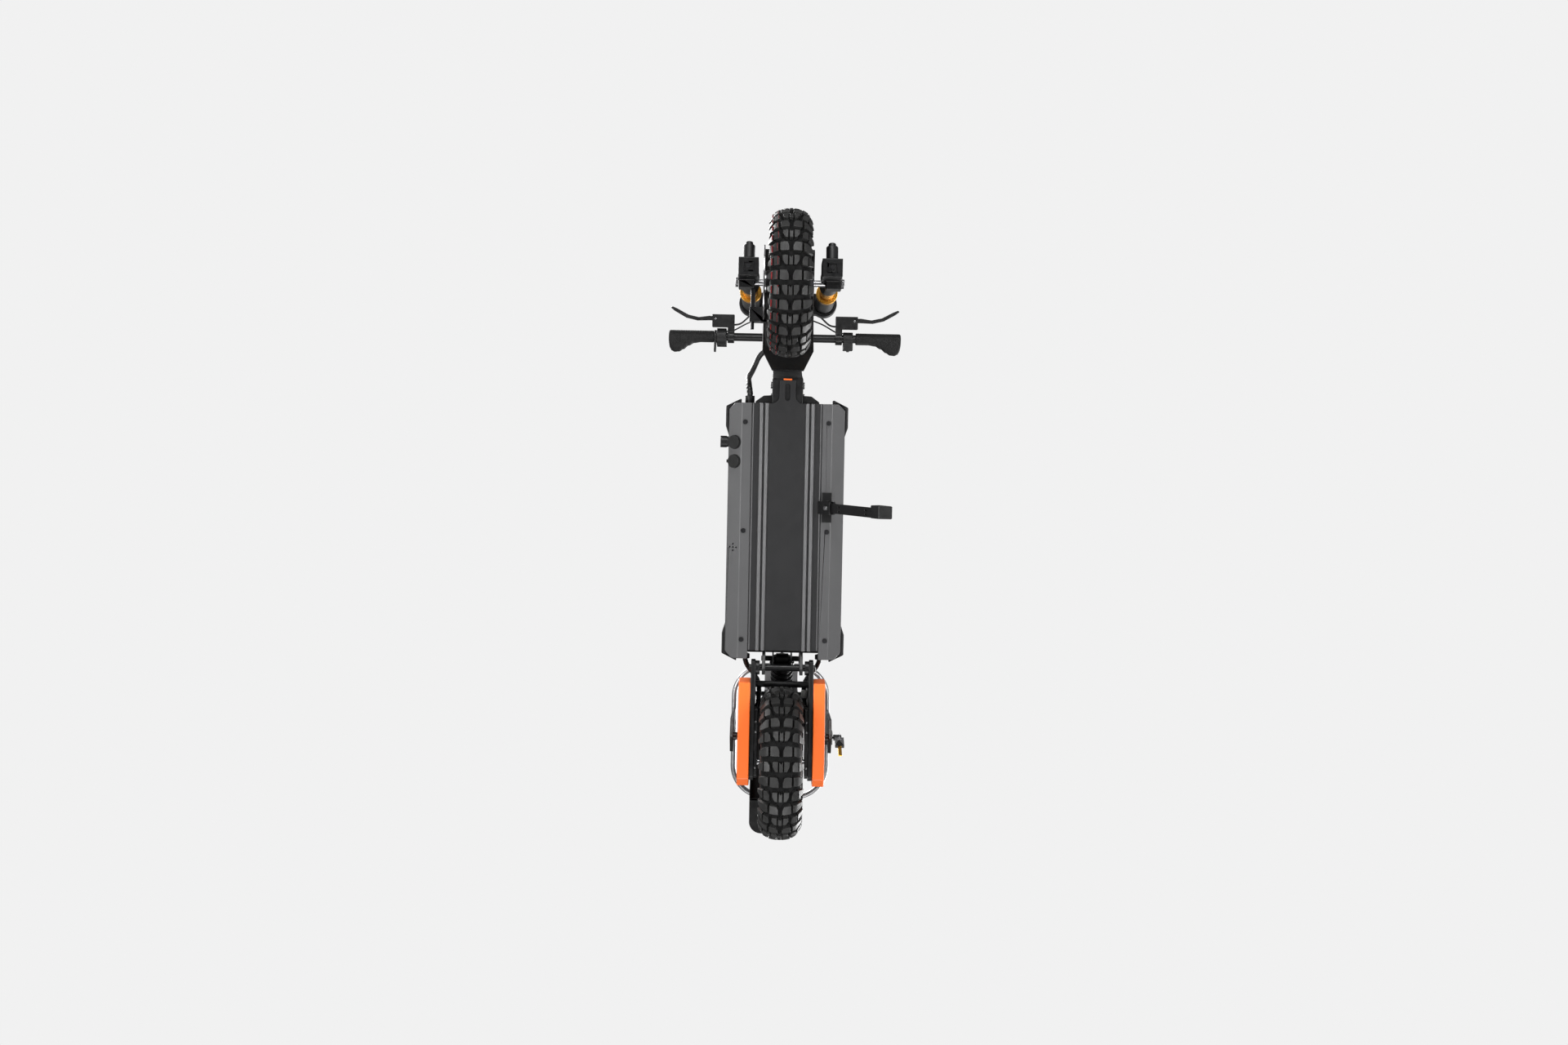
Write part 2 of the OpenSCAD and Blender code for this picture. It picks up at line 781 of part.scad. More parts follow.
module fork_lowers() {
    color(black) difference() {
        union() {
            fork_frame() both_sides() translate([0, leg_y, 0]) {
                translate([-8, -foot_block[1] / 2, -foot_block[2] - 4]) cube(foot_block);
                translate([0, 0, -10]) cylinder(d = upper_d - 4, h = sleeve_top + 10, $fn = round_fn);
            }
            both_sides() translate([x_front - lug_block[0] / 2, leg_y - 10, tyre_r - lug_block[2] / 2])
                cube(lug_block);
        }
        translate([x_front, 0, tyre_r]) across(axle_d, 300);
    }
    color(soft_black) fork_frame() both_sides() translate([25, leg_y, -foot_block[2] / 2 - 10])
        rotate([0, foot_cap_tilt, 0]) {
            cylinder(d = 22, h = 28, $fn = round_fn);
            translate([0, 0, 28]) cylinder(d = 14, h = 7, $fn = soft_fn);
        }
    color(silver) fork_frame() both_sides() translate([0, leg_y, sleeve_top])
        cylinder(d = stanchion_d, h = crown_up - fork_travel - sleeve_top, $fn = round_fn);
}

axle_out = leg_y + 20;

module front_axle() {
    color(silver) translate([x_front, 0, tyre_r]) {
        across(axle_d, 2 * axle_out);
        both_sides() translate([0, axle_out + 2, 0]) across(18, 6, 6);
    }
}

disc_y = 49;
disc_bore = 30;
spacer_d = 44;
hub_half = 44;

module front_caliper() {
    color(black) difference() {
        translate([x_front - 72, -disc_y - 25, tyre_r - 4]) cube([26, 34, 48]);
        translate([x_front, -disc_y + disc_t / 2, tyre_r]) across(disc_d + 4, disc_t + 2);
    }
    color(black) box_between([x_front - 50, -leg_y + 4, tyre_r - 2],
        [x_front - lug_block[0] / 2, -leg_y + 12, tyre_r + 14]);
    color(silver) translate([x_front - 86, -disc_y - 20, tyre_r + 18]) rotate([0, 90, 0])
        cylinder(d = 7, h = 14, $fn = soft_fn);
}

function fork_pos(u, v, w) = [
    x_leg + u * cos(lean) - w * sin(lean), v, tyre_r + u * sin(lean) + w * cos(lean)];

// Round points of the brake hose, from the caliper up into the crown port
hose_top = crown_up - 4;
hose_route = [
    [x_front - 60, -66, tyre_r + 44.3], [x_front - 61, -68, tyre_r + 80],
    [x_front - 56, -64, tyre_r + 130], [x_front - 40, -57, tyre_r + 180],
    fork_pos(port_u, -port_v, hose_top - 96), fork_pos(port_u, -port_v, hose_top - 62),
    fork_pos(port_u, -port_v, hose_top - 28), fork_pos(port_u, -port_v, hose_top)
];

module front_brake_hose() {
    color(black) cable(hose_route, hose_d, 5);
}

// ----------------------------------------------------------------- wheels

// Half section of a tyre in radius and width
module tyre_section() {
    w = tyre_w / 2;
    r0 = rim_d / 2;
    polygon([
        [r0, -w * 0.72], [r0 + 12, -w * 0.86], [r0 + 24, -w * 0.97], [tyre_r - 20, -w],
        [tyre_r - 9, -w * 0.93], [tyre_r - 2, -w * 0.55], [tyre_r, 0],
        [tyre_r - 2, w * 0.55], [tyre_r - 9, w * 0.93], [tyre_r - 20, w],
        [r0 + 24, w * 0.97], [r0 + 12, w * 0.86], [r0, w * 0.72]
    ]);
}

module tyre(x) {
    translate([x, 0, tyre_r]) rotate([90, 0, 0]) rotate_extrude($fn = 128) tyre_section();
}

module front_tyre() {
    color(soft_black) tyre(x_front);
}

module rear_tyre() {
    color(soft_black) tyre(x_rear);
}

rim_w = tyre_w * 0.7;

module front_hub() {
    color(graphite) translate([x_front, 0, tyre_r]) difference() {
        union() {
            across(rim_d - gap, rim_w, 128);
            across(spacer_d + 2, 2 * hub_half);
        }
        across(axle_d + 2 * run, 200);
        both_sides() translate([0, rim_w / 2, 0]) difference() {
            across(rim_d - 16, 16, 128);
            across(64, 20);
        }
    }
}

module disc(y, bore) {
    translate([0, y, 0]) difference() {
        across(disc_d, disc_t, 128);
        across(bore, disc_t + 2);
        for (a = [0 : 30 : 330]) rotate([0, a, 0]) translate([disc_d / 2 - 10, 0, 0]) across(7, 10, 16);
        for (a = [0 : 60 : 300]) rotate([0, a, 0]) translate([disc_d / 2 - 30, 0, 0]) across(16, 10, 24);
    }
}

module front_disc() {
    color(silver) translate([x_front, 0, tyre_r]) {
        disc(-disc_y + disc_t / 2, disc_bore);
        translate([0, (disc_t - disc_y - hub_half) / 2, 0]) difference() {
            across(spacer_d, disc_y - disc_t - hub_half);
            across(disc_bore, 20);
        }
    }
}

module hub_motor() {
    color(graphite) translate([x_rear, 0, tyre_r]) difference() {
        union() {
            across(rim_d - gap, rim_w, 128);
            across(rim_d - 34, rim_w + 12, 128);
            across(60, rim_w + 20);
        }
        across(axle_d + 2 * run, 200);
    }
}

// ------------------------------------------------------------- stem and bar

// Cable entry block on the front of the stem
entry_up = fold_up + 330;
entry_deep = 9;

module stem_tube() {
    color(black) fork_frame() {
        difference() {
            union() {
                box_between([-13, -ear_out - 4, fold_up + 1], [26, ear_out + 4, fold_up + 44]);
                fold_eye(-ear_in + gap, ear_in - gap, fold_eye_r);
            }
            translate([-fold_back, 0, fold_up]) across(fold_pin_d + 2 * run, 100);
            both_sides() box_between([-60, ear_in - gap, fold_up - 20], [-17, 60, fold_up + 14]);
        }
        box_between([25, -8, fold_up + 26], [latch_u - 1 - gap, 8, fold_up + 34]);
        translate([0, 0, fold_up + 44]) cylinder(d = stem_d, h = stem_top - fold_up - 44, $fn = round_fn);
        difference() {
            box_between([stem_d / 2 - 8, -15, entry_up - 30], [stem_d / 2 + entry_deep, 15, entry_up]);
            translate([0, 0, entry_up - 40]) cylinder(d = stem_d - 2, h = 50, $fn = round_fn);
        }
        difference() {
            box_between([-stem_d / 2, -24, stem_top - 4], [bar_lead + 18, 24, stem_top + 2 * bar_d]);
            translate([bar_lead * cos(lean), 0, stem_top + bar_d - bar_lead * sin(lean)]) across(bar_d, 60);
        }
    }
}

module fold_latch() {
    color(orange) fork_frame() translate([latch_u, 0, latch_w]) difference() {
        union() {
            across(latch_eye, 2 * latch_half);
            box_between([-1, -latch_half + 4, 0], [latch_eye / 2, latch_half - 4, 64]);
            translate([(latch_eye / 2 - 1) / 2 + 3, 0, 62]) across(latch_eye, 2 * latch_half - 8);
        }
        across(latch_pin_d + 2 * run, 60);
    }
}

module on_bar() {
    translate([x_bar, 0, bar_z]) children();
}

bar_in = bar_span / 2 - grip_len;

module handlebar() {
    color(black) on_bar() across(bar_d, bar_span - 16);
}

// Grip with a palm rest that widens towards its outer end
module grip() {
    color(soft_black) on_bar() difference() {
        union() {
            translate([0, bar_in + grip_len / 2, 0]) across(grip_d, grip_len);
            translate([0, bar_in, -9]) linear_extrude(16) polygon([
                [-8, 20], [-grip_d / 2 - 2, 44], [-grip_d / 2 - 16, 70], [-grip_d / 2 - 24, 92],
                [-grip_d / 2 - 22, 112], [-grip_d / 2 - 8, grip_len], [0, grip_len]
            ]);
        }
        translate([0, bar_in - 1, 0]) rotate([-90, 0, 0])
            cylinder(d = bar_d, h = grip_len - 7, $fn = round_fn);
    }
}

module grip_left() {
    grip();
}

module grip_right() {
    mirror([0, 1, 0]) grip();
}

perch_y = 146;
lever_pin = [48, 188];
lever_pin_d = 6;

module lever_perches() {
    color(black) both_sides() on_bar() difference() {
        union() {
            translate([0, perch_y, 0]) across(bar_d + 12, 18);
            box_between([0, perch_y - 9, -12], [34, perch_y + 9, 12]);
            for (z = [-12, 6]) box_between([26, perch_y - 9, z], [60, lever_pin[1] + 9, z + 6]);
            box_between([26, perch_y - 9, -6.5], [40, lever_pin[1] - 14, 6.5]);
        }
        translate([0, perch_y, 0]) across(bar_d, 40);
        translate([lever_pin[0], lever_pin[1], -20]) cylinder(d = lever_pin_d, h = 40, $fn = soft_fn);
    }
    color(silver) both_sides() on_bar() translate([lever_pin[0], lever_pin[1], -14])
        cylinder(d = lever_pin_d, h = 28, $fn = soft_fn);
}

lever_t = 10;

// Blade swings about an upright pin and curves out along the grip
module brake_lever() {
    color(black) on_bar() translate([0, 0, -lever_t / 2]) linear_extrude(lever_t) difference() {
        union() {
            translate(lever_pin) circle(r = 8, $fn = soft_fn);
            polygon([
                [44, 181], [55, 181], [56, 206], [52, 234], [58, 262], [74, 292], [80, 306],
                [76, 310], [68, 300], [50, 268], [43, 238], [44, 206]
            ]);
        }
        translate(lever_pin) circle(d = lever_pin_d + 2 * run, $fn = soft_fn);
    }
}

module brake_lever_left() {
    brake_lever();
}

module brake_lever_right() {
    mirror([0, 1, 0]) brake_lever();
}

pod_y = 171;
pod_w = 26;

module throttle_pod() {
    color(soft_black) on_bar() difference() {
        union() {
            translate([0, -pod_y, 0]) across(46, pod_w);
            box_between([-26, -pod_y - pod_w / 2, 6], [16, -pod_y + pod_w / 2, 30]);
        }
        translate([0, -pod_y, 0]) across(bar_d, 100);
    }
    color(screen_blue) on_bar()
        box_between([-23, -pod_y - pod_w / 2 + 3, 30], [13, -pod_y + pod_w / 2 - 3, 31]);
}

module throttle_paddle() {
    color(black) on_bar() translate([0, -pod_y - pod_w / 2 - 4, 0]) difference() {
        union() {
            across(36, 6);
            rotate([0, -25, 0]) box_between([-44, -3, -7], [-8, 3, 7]);
        }
        across(bar_d + 2 * run, 20);
    }
}

module switch_pod() {
    color(black) on_bar() difference() {
        union() {
            translate([0, pod_y, 0]) across(36, pod_w);
            box_between([-32, pod_y - pod_w / 2, -14], [0, pod_y + pod_w / 2, 14]);
        }
        translate([0, pod_y, 0]) across(bar_d, 100);
        for (z = [-6, 6]) translate([-33, pod_y, z]) rotate([0, 90, 0])
            cylinder(d = 8 + 2 * gap, h = 7, $fn = soft_fn);
    }
}

module pod_button(z) {
    on_bar() translate([-35, pod_y, z]) rotate([0, 90, 0]) cylinder(d = 8, h = 5.5, $fn = soft_fn);
}

module horn_button() {
    color(black) pod_button(-6);
}

module light_button() {
    color(silver) pod_button(6);
}

cable_d = 5;
entry_top = fork_pos(stem_d / 2 + entry_deep - 4, 0, entry_up);

// Hand-chosen points, from the perches and pods round to the stem entry
lever_cable = [
    [x_bar + 33, perch_y - 9.2, bar_z], [x_bar + 38, 118, bar_z - 2],
    [x_bar + 66, 84, bar_z - 12], [x_bar + 74, 44, bar_z - 50],
    [x_bar + 58, 18, bar_z - 120], entry_top + [6, 11, 50], entry_top + [0, 11, 0.1]
];
pod_cable = [
    [x_bar + 16, pod_y - pod_w / 2 - 0.2, bar_z + 14], [x_bar + 20, 138, bar_z + 22],
    [x_bar + 40, 100, bar_z + 16], [x_bar + 52, 52, bar_z - 20],
    [x_bar + 44, 16, bar_z - 90], entry_top + [4, 4, 60], entry_top + [0, 4, 0.1]
];

module bar_cables() {
    color(black) both_sides() {
        cable(lever_cable, cable_d, 4);
        cable(pod_cable, cable_d - 1, 4);
    }
}

// --------------------------------------------------------------- swingarm

// One arm plate in X and Z, from the pivot to the axle and up to the yoke
module arm_outline() {
    polygon([
        [x_pivot + 14, z_pivot - 10], [x_pivot + 14, z_pivot + 12],
        [x_pivot - 40, z_pivot + 60], [shock_rear[0] + 14, shock_rear[1] + 8],
        [shock_rear[0] - 8, shock_rear[1] + 12], [shock_rear[0] - 16, shock_rear[1] - 4],
        [x_rear + 30, tyre_r + 34], [x_rear - 26, tyre_r + 26], [x_rear - 34, tyre_r],
        [x_rear - 22, tyre_r - 24], [x_rear + 20, tyre_r - 28], [x_pivot - 10, z_pivot - 20]
    ]);
}

// Two cross tubes tie the arm plates together ahead of the tyre
cross_d = 10;
boss_d = 26;
cross_places = [[-44, 62], [-37, 37]];

module swingarm() {
    color(black) {
        difference() {
            both_sides() side_plate(arm_y, arm_y + arm_t) arm_outline();
            translate([x_pivot, 0, z_pivot]) across(pivot_d + 2 * run, 300);
            translate([x_rear, 0, tyre_r]) across(axle_d, 300);
        }
        translate([shock_rear[0], 0, shock_rear[1]]) across(shock_pin_d - 1, 2 * arm_y + 1);
        difference() {
            translate([x_pivot, 0, z_pivot]) both_sides() translate([0, arm_y - 4, 0]) across(boss_d, 8);
            translate([x_pivot, 0, z_pivot]) across(pivot_d + 2 * run, 300);
        }
        for (place = cross_places)
            translate([x_pivot + place[0], 0, z_pivot + place[1]]) across(cross_d, 2 * arm_y + 1, soft_fn);
    }
    color(silver) translate([x_rear, 0, tyre_r]) {
        across(axle_d, 2 * (arm_y + arm_t));
        both_sides() translate([0, arm_y + arm_t + 3, 0]) across(20, 6, 6);
    }
}

cover_in = arm_y + arm_t + 0.2;

module arm_covers() {
    color(orange) both_sides() difference() {
        side_plate(cover_in, cover_in + cover_t) polygon([
            [x_pivot - 24, z_pivot - 22], [x_pivot - 24, z_pivot + 26], [x_pivot - 54, z_pivot + 40],
            [x_rear + 40, tyre_r + 38], [x_rear - 28, tyre_r + 30], [x_rear - 40, tyre_r + 8],
            [x_rear - 40, tyre_r - 16], [x_rear - 24, tyre_r - 30], [x_rear + 40, tyre_r - 32]
        ]);
        side_plate(cover_in - 1, cover_in + cover_t - 4) polygon([
            [x_pivot - 28, z_pivot - 18], [x_pivot - 28, z_pivot + 22], [x_pivot - 56, z_pivot + 35],
            [x_rear + 40, tyre_r + 34], [x_rear - 26, tyre_r + 26], [x_rear - 36, tyre_r + 8],
            [x_rear - 36, tyre_r - 14], [x_rear - 22, tyre_r - 26], [x_rear + 40, tyre_r - 28]
        ]);
    }
}

rear_fender_gap = 26;
rear_fender_w = 104;
fender_shift = 6;

function polar(r, a) = [r * cos(a), r * sin(a)];

fender_end = 131;
fender_rise = 16;
fender_corner = 24;
fender_start = 64;

module rear_fender() {
    r = tyre_r + rear_fender_gap;
    tip = polar(r, fender_end);
    half = rear_fender_w / 2;
    color(black) {
        translate([x_rear, -fender_shift, tyre_r]) {
            arc_band(r, fender_t, rear_fender_w, fender_start, fender_end);
            both_sides() translate([0, half - fender_t / 2, 0])
                arc_band(r - 10, 11, fender_t, fender_start, fender_end);
            intersection() {
                side_plate(-half, half) polygon([
                    tip, [tip[0], tip[1] + fender_t + 1], [-tail_overhang, tip[1] + fender_rise + fender_t],
                    [-tail_overhang, tip[1] + fender_rise]
                ]);
                linear_extrude(400) hull() {
                    translate([tip[0] - 1, -half]) square([20, 2 * half]);
                    for (way = [-1, 1])
                        translate([fender_corner - tail_overhang, way * (half - fender_corner)])
                            circle(r = fender_corner, $fn = 64);
                }
            }
        }
        translate([x_rear, 0, tyre_r]) both_sides()
            side_plate(arm_y - 5, arm_y) polygon([
                polar(r + 1, 66), polar(r + 1, 76), [34, 76], [28, 60], [46, 60], [50, 76]
            ]);
    }
}

hoop_front = shock_rear[0] + 48;
hoop_len = 262;
hoop_r = 62;
hoop_y = hoop_w / 2;
stay_t = 6;
stay_y = hoop_y - stay_t / 2;
stay_x = shock_rear[0] - 60;

module hoop_corner(x, y, a) {
    translate([x, y, hoop_z]) rotate([0, 0, a]) rotate_extrude(angle = 90, $fn = 96)
        translate([hoop_r, 0]) circle(d = hoop_d, $fn = soft_fn);
}

// Closed tube around the top of the rear wheel, on two stays and a bracket
module rear_hoop() {
    x0 = hoop_front - hoop_len + hoop_r;
    x1 = hoop_front - hoop_r;
    y1 = hoop_y - hoop_r;
    color(silver) {
        hoop_corner(x1, y1, 0);
        hoop_corner(x0, y1, 90);
        hoop_corner(x0, -y1, 180);
        hoop_corner(x1, -y1, 270);
        both_sides() translate([x0, hoop_y, hoop_z]) rotate([0, 90, 0])
            cylinder(d = hoop_d, h = x1 - x0, $fn = soft_fn);
        for (x = [x0 - hoop_r, x1 + hoop_r]) translate([x, 0, hoop_z]) across(hoop_d, 2 * y1, soft_fn);
        box_between([shock_rear[0] - 8, -33, hoop_z - 10], [hoop_front + 3, 33, hoop_z - 4]);
        both_sides() box_between([shock_rear[0] - 6, 26, shock_rear[1] + shock_pin_d / 2],
            [shock_rear[0] + 6, 33, hoop_z - 10]);
    }
    color(black) both_sides() {
        side_plate(stay_y, stay_y + stay_t) polygon([
            [stay_x + 34, z_pivot + 36], [stay_x + 22, hoop_z - 2], [stay_x, hoop_z - 2],
            [stay_x - 30, z_pivot + 40], [stay_x + 4, z_pivot + 14]
        ]);
        translate([stay_x + 2, (stay_y + cover_in + cover_t) / 2, z_pivot + 30])
            across(14, stay_y - cover_in - cover_t + 0.4);
    }
}

lock_x = hoop_front - 142;
lock_half = 12;
lock_out = hoop_y + 12;
key_d = 5;

module hoop_lock() {
    color(black) difference() {
        box_between([lock_x - lock_half, hoop_y - 8, hoop_z - 12],
            [lock_x + lock_half, lock_out, hoop_z + 12]);
        translate([lock_x, hoop_y, hoop_z]) rotate([0, 90, 0])
            cylinder(d = hoop_d, h = 60, center = true, $fn = soft_fn);
        translate([lock_x, lock_out - 4, hoop_z]) across(key_d, 12, soft_fn);
    }
}

key_ring_d = 22;
ring_hole_d = 7;

// Inserted key with a split ring and a second key hanging from it
module lock_key() {
    key_y = lock_out + 13;
    color(silver) translate([lock_x, lock_out - 4, hoop_z]) rotate([-90, 0, 0])
        cylinder(d = key_d - 4 * run, h = 7, $fn = soft_fn);
    color(black) difference() {
        box_between([lock_x - 4, lock_out + 2, hoop_z - 9], [lock_x + 4, key_y + 5, hoop_z + 9]);
        translate([lock_x, key_y, hoop_z]) rotate([0, 90, 0])
            cylinder(d = ring_hole_d, h = 20, center = true, $fn = soft_fn);
    }
    color(silver) translate([lock_x, key_y, hoop_z - key_ring_d / 2]) rotate([90, 0, 0])
        rotate_extrude($fn = 48) translate([key_ring_d / 2, 0]) circle(d = 1.8, $fn = 16);
    translate([lock_x, key_y, hoop_z - key_ring_d]) rotate([0, 24, 0]) {
        color(black) difference() {
            translate([-3, -9, -20]) cube([6, 18, 26]);
            rotate([0, 90, 0]) cylinder(d = ring_hole_d, h = 20, center = true, $fn = soft_fn);
        }
        color(gold) translate([-1, -3.5, -48]) cube([2, 7, 28]);
    }
}

// ------------------------------------------------------------------ shock

// Local +Z runs from the front eye to the rear eye
module shock_frame() {
    translate([shock_front[0], 0, shock_front[1]]) rotate([0, shock_tilt - 90, 0]) children();
}

shock_eye_d = 20;
shock_rod_d = 12;
shock_can_d = 28;
shock_can_end = shock_len * 0.6;
spring_low = 16;
spring_high = shock_len - 17;

module shock_body() {
    color(black) shock_frame() difference() {
        union() {
            across(shock_eye_d, 24);
            translate([0, 0, 5]) cylinder(d = shock_can_d, h = shock_can_end - 5, $fn = round_fn);
            translate([0, 0, 9]) cylinder(d = coil_d + 4, h = spring_low - 9, $fn = 8);
        }
        across(shock_pin_d + 2 * run, 60);
        translate([0, 0, 20]) cylinder(d = shock_rod_d + 2 * run, h = shock_len, $fn = round_fn);
    }
}

module shock_shaft() {
    color(silver) shock_frame() difference() {
        union() {
            translate([0, 0, 36]) cylinder(d = shock_rod_d, h = shock_len - 44, $fn = round_fn);
            translate([0, 0, shock_len]) across(shock_eye_d - 2, 20);
            translate([0, 0, spring_high]) cylinder(d = coil_d, h = 5, $fn = round_fn);
        }
        translate([0, 0, shock_len]) across(shock_pin_d + 2, 60);
    }
}

coil_wire = 6;
coil_turns = 5;

module shock_spring() {
    low = spring_low + coil_wire / 2 + gap;
    rise = spring_high - coil_wire / 2 - gap - low;
    r = (coil_d - coil_wire) / 2;
    steps = coil_turns * 12;
    color(orange) shock_frame() cable([for (i = [0 : steps])
        [r * cos(30 * i), r * sin(30 * i), low + rise * i / steps]], coil_wire, 1);
}

side_panel_left();
side_panel_right();
underside_panel();
deck_plate();
grip_mat();
end_bulkheads();
neck_frame();
battery_pack();
motor_controller();
frame_fasteners();
corner_bumpers();
charge_sockets();
kickstand_bracket();
wire_harness();
harness_glands();
rear_subframe();
headset_cups();
fork_crown();
fork_upper_tubes();
gold_collars();
front_fender();
head_lamp();
fold_base();
fork_lowers();
front_axle();
front_caliper();
front_brake_hose();
front_tyre();
front_hub();
front_disc();
stem_tube();
fold_latch();
handlebar();
grip_left();
grip_right();
lever_perches();
bar_cables();
brake_lever_left();
brake_lever_right();
throttle_pod();
throttle_paddle();
switch_pod();
horn_button();
light_button();
swingarm();
arm_covers();
rear_fender();
rear_hoop();
hoop_lock();
lock_key();
rear_tyre();
hub_motor();
shock_body();
shock_shaft();
kickstand_leg();
kickstand_foot();
charge_cap_front();
charge_cap_rear();
power_knob();
shock_spring();
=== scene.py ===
import json
import math
import bmesh
import bpy
from mathutils import Matrix, Vector


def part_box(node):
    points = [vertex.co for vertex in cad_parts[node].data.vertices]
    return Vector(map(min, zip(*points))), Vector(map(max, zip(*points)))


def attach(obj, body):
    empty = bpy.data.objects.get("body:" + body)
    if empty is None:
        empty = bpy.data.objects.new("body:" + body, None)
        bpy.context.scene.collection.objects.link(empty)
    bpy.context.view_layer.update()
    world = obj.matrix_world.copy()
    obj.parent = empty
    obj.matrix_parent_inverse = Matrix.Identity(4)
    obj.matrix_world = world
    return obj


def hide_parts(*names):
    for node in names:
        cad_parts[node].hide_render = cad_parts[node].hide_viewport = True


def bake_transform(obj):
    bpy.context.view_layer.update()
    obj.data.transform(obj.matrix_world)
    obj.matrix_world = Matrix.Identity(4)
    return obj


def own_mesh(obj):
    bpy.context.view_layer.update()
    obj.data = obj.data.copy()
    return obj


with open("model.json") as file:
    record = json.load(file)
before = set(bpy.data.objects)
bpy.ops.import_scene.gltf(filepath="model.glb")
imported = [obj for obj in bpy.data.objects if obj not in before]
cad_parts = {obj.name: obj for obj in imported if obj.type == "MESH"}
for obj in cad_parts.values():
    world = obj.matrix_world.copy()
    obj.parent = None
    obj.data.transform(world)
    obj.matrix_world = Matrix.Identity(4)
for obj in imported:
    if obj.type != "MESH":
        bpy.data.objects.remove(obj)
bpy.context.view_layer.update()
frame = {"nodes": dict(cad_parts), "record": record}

MM = 0.001
scene = bpy.context.scene
nodes = frame["nodes"]
body_of = {n: b for b, ns in frame["record"]["behaviour"]["bodies"].items() for n in ns}

# ------------------------------------------------------------------ sizes
# Millimetres in the frame's axes: X forward, Y left, Z up from the ground.
X_FRONT, X_REAR = 465, -425                   # wheel axles
X_DECK, X_TAIL, DECK_Z = 242, -236, 150       # front end, rear end and underside of the deck
TYRE_R, TYRE_W, RIM_R = 138, 84, 83
BAR_Z, X_BAR = 1235, 437.509                  # centre line of the handlebar
LEAN = math.radians(3)                        # of the steering axis and the fork legs
X_LEG, LEG_Y, CROWN_UP, CROWN_T = 475, 76, 322, 30
CROWN_Z = TYRE_R + CROWN_UP + CROWN_T
SHOCK_A, SHOCK_B = (-248, 225), (-330, 290)   # eyes of the shock, (x, z)
HOOP_Z = 330
PORT_U, PORT_V = -12, 50                      # where the brake hose enters the crown
RIGHT_LEFT = ((-1, "right"), (1, "left"))


def fork_pos(u, v, w):
    """Point beside the leaning legs: u forward, v left, w up the leg from axle height."""
    return (X_LEG + u * math.cos(LEAN) - w * math.sin(LEAN), v,
            TYRE_R + u * math.sin(LEAN) + w * math.cos(LEAN))


# ----------------------------------------------------------------- camera
LENS, SENSOR = 29.4, 36
SHIFT = (0.00625, -0.0625)
CAMERA_PLACE = (0.202, -0.024, -2.24)
CAMERA_ROLL = math.radians(1.14)


def make_camera():
    """Camera below the ground plane that looks straight up, with the front at the top."""
    data = bpy.data.cameras.new("camera")
    cam = bpy.data.objects.new("camera", data)
    scene.collection.objects.link(cam)
    data.lens, data.sensor_width = LENS, SENSOR
    data.shift_x, data.shift_y = SHIFT
    data.clip_start, data.clip_end = 0.05, 60
    right = Vector((math.sin(CAMERA_ROLL), math.cos(CAMERA_ROLL), 0))
    up = Vector((math.cos(CAMERA_ROLL), -math.sin(CAMERA_ROLL), 0))
    back = Vector((0, 0, -1))
    turn = Matrix((right, up, back)).transposed().to_4x4()
    cam.matrix_world = Matrix.Translation(CAMERA_PLACE) @ turn
    scene.camera = cam


make_camera()
scene.view_settings.view_transform = "Standard"


# -------------------------------------------------------------- materials
WEAR_AND_HIGHLIGHT_PATCHES, GLOSS_PATCHES = 160, 70         # noise scales
GRAIN_DEPTH = 0.0004
COAT_ROUGH, NOISE_ROUGH = 0.12, 0.6


def link(tree, a, b):
    tree.links.new(a, b)


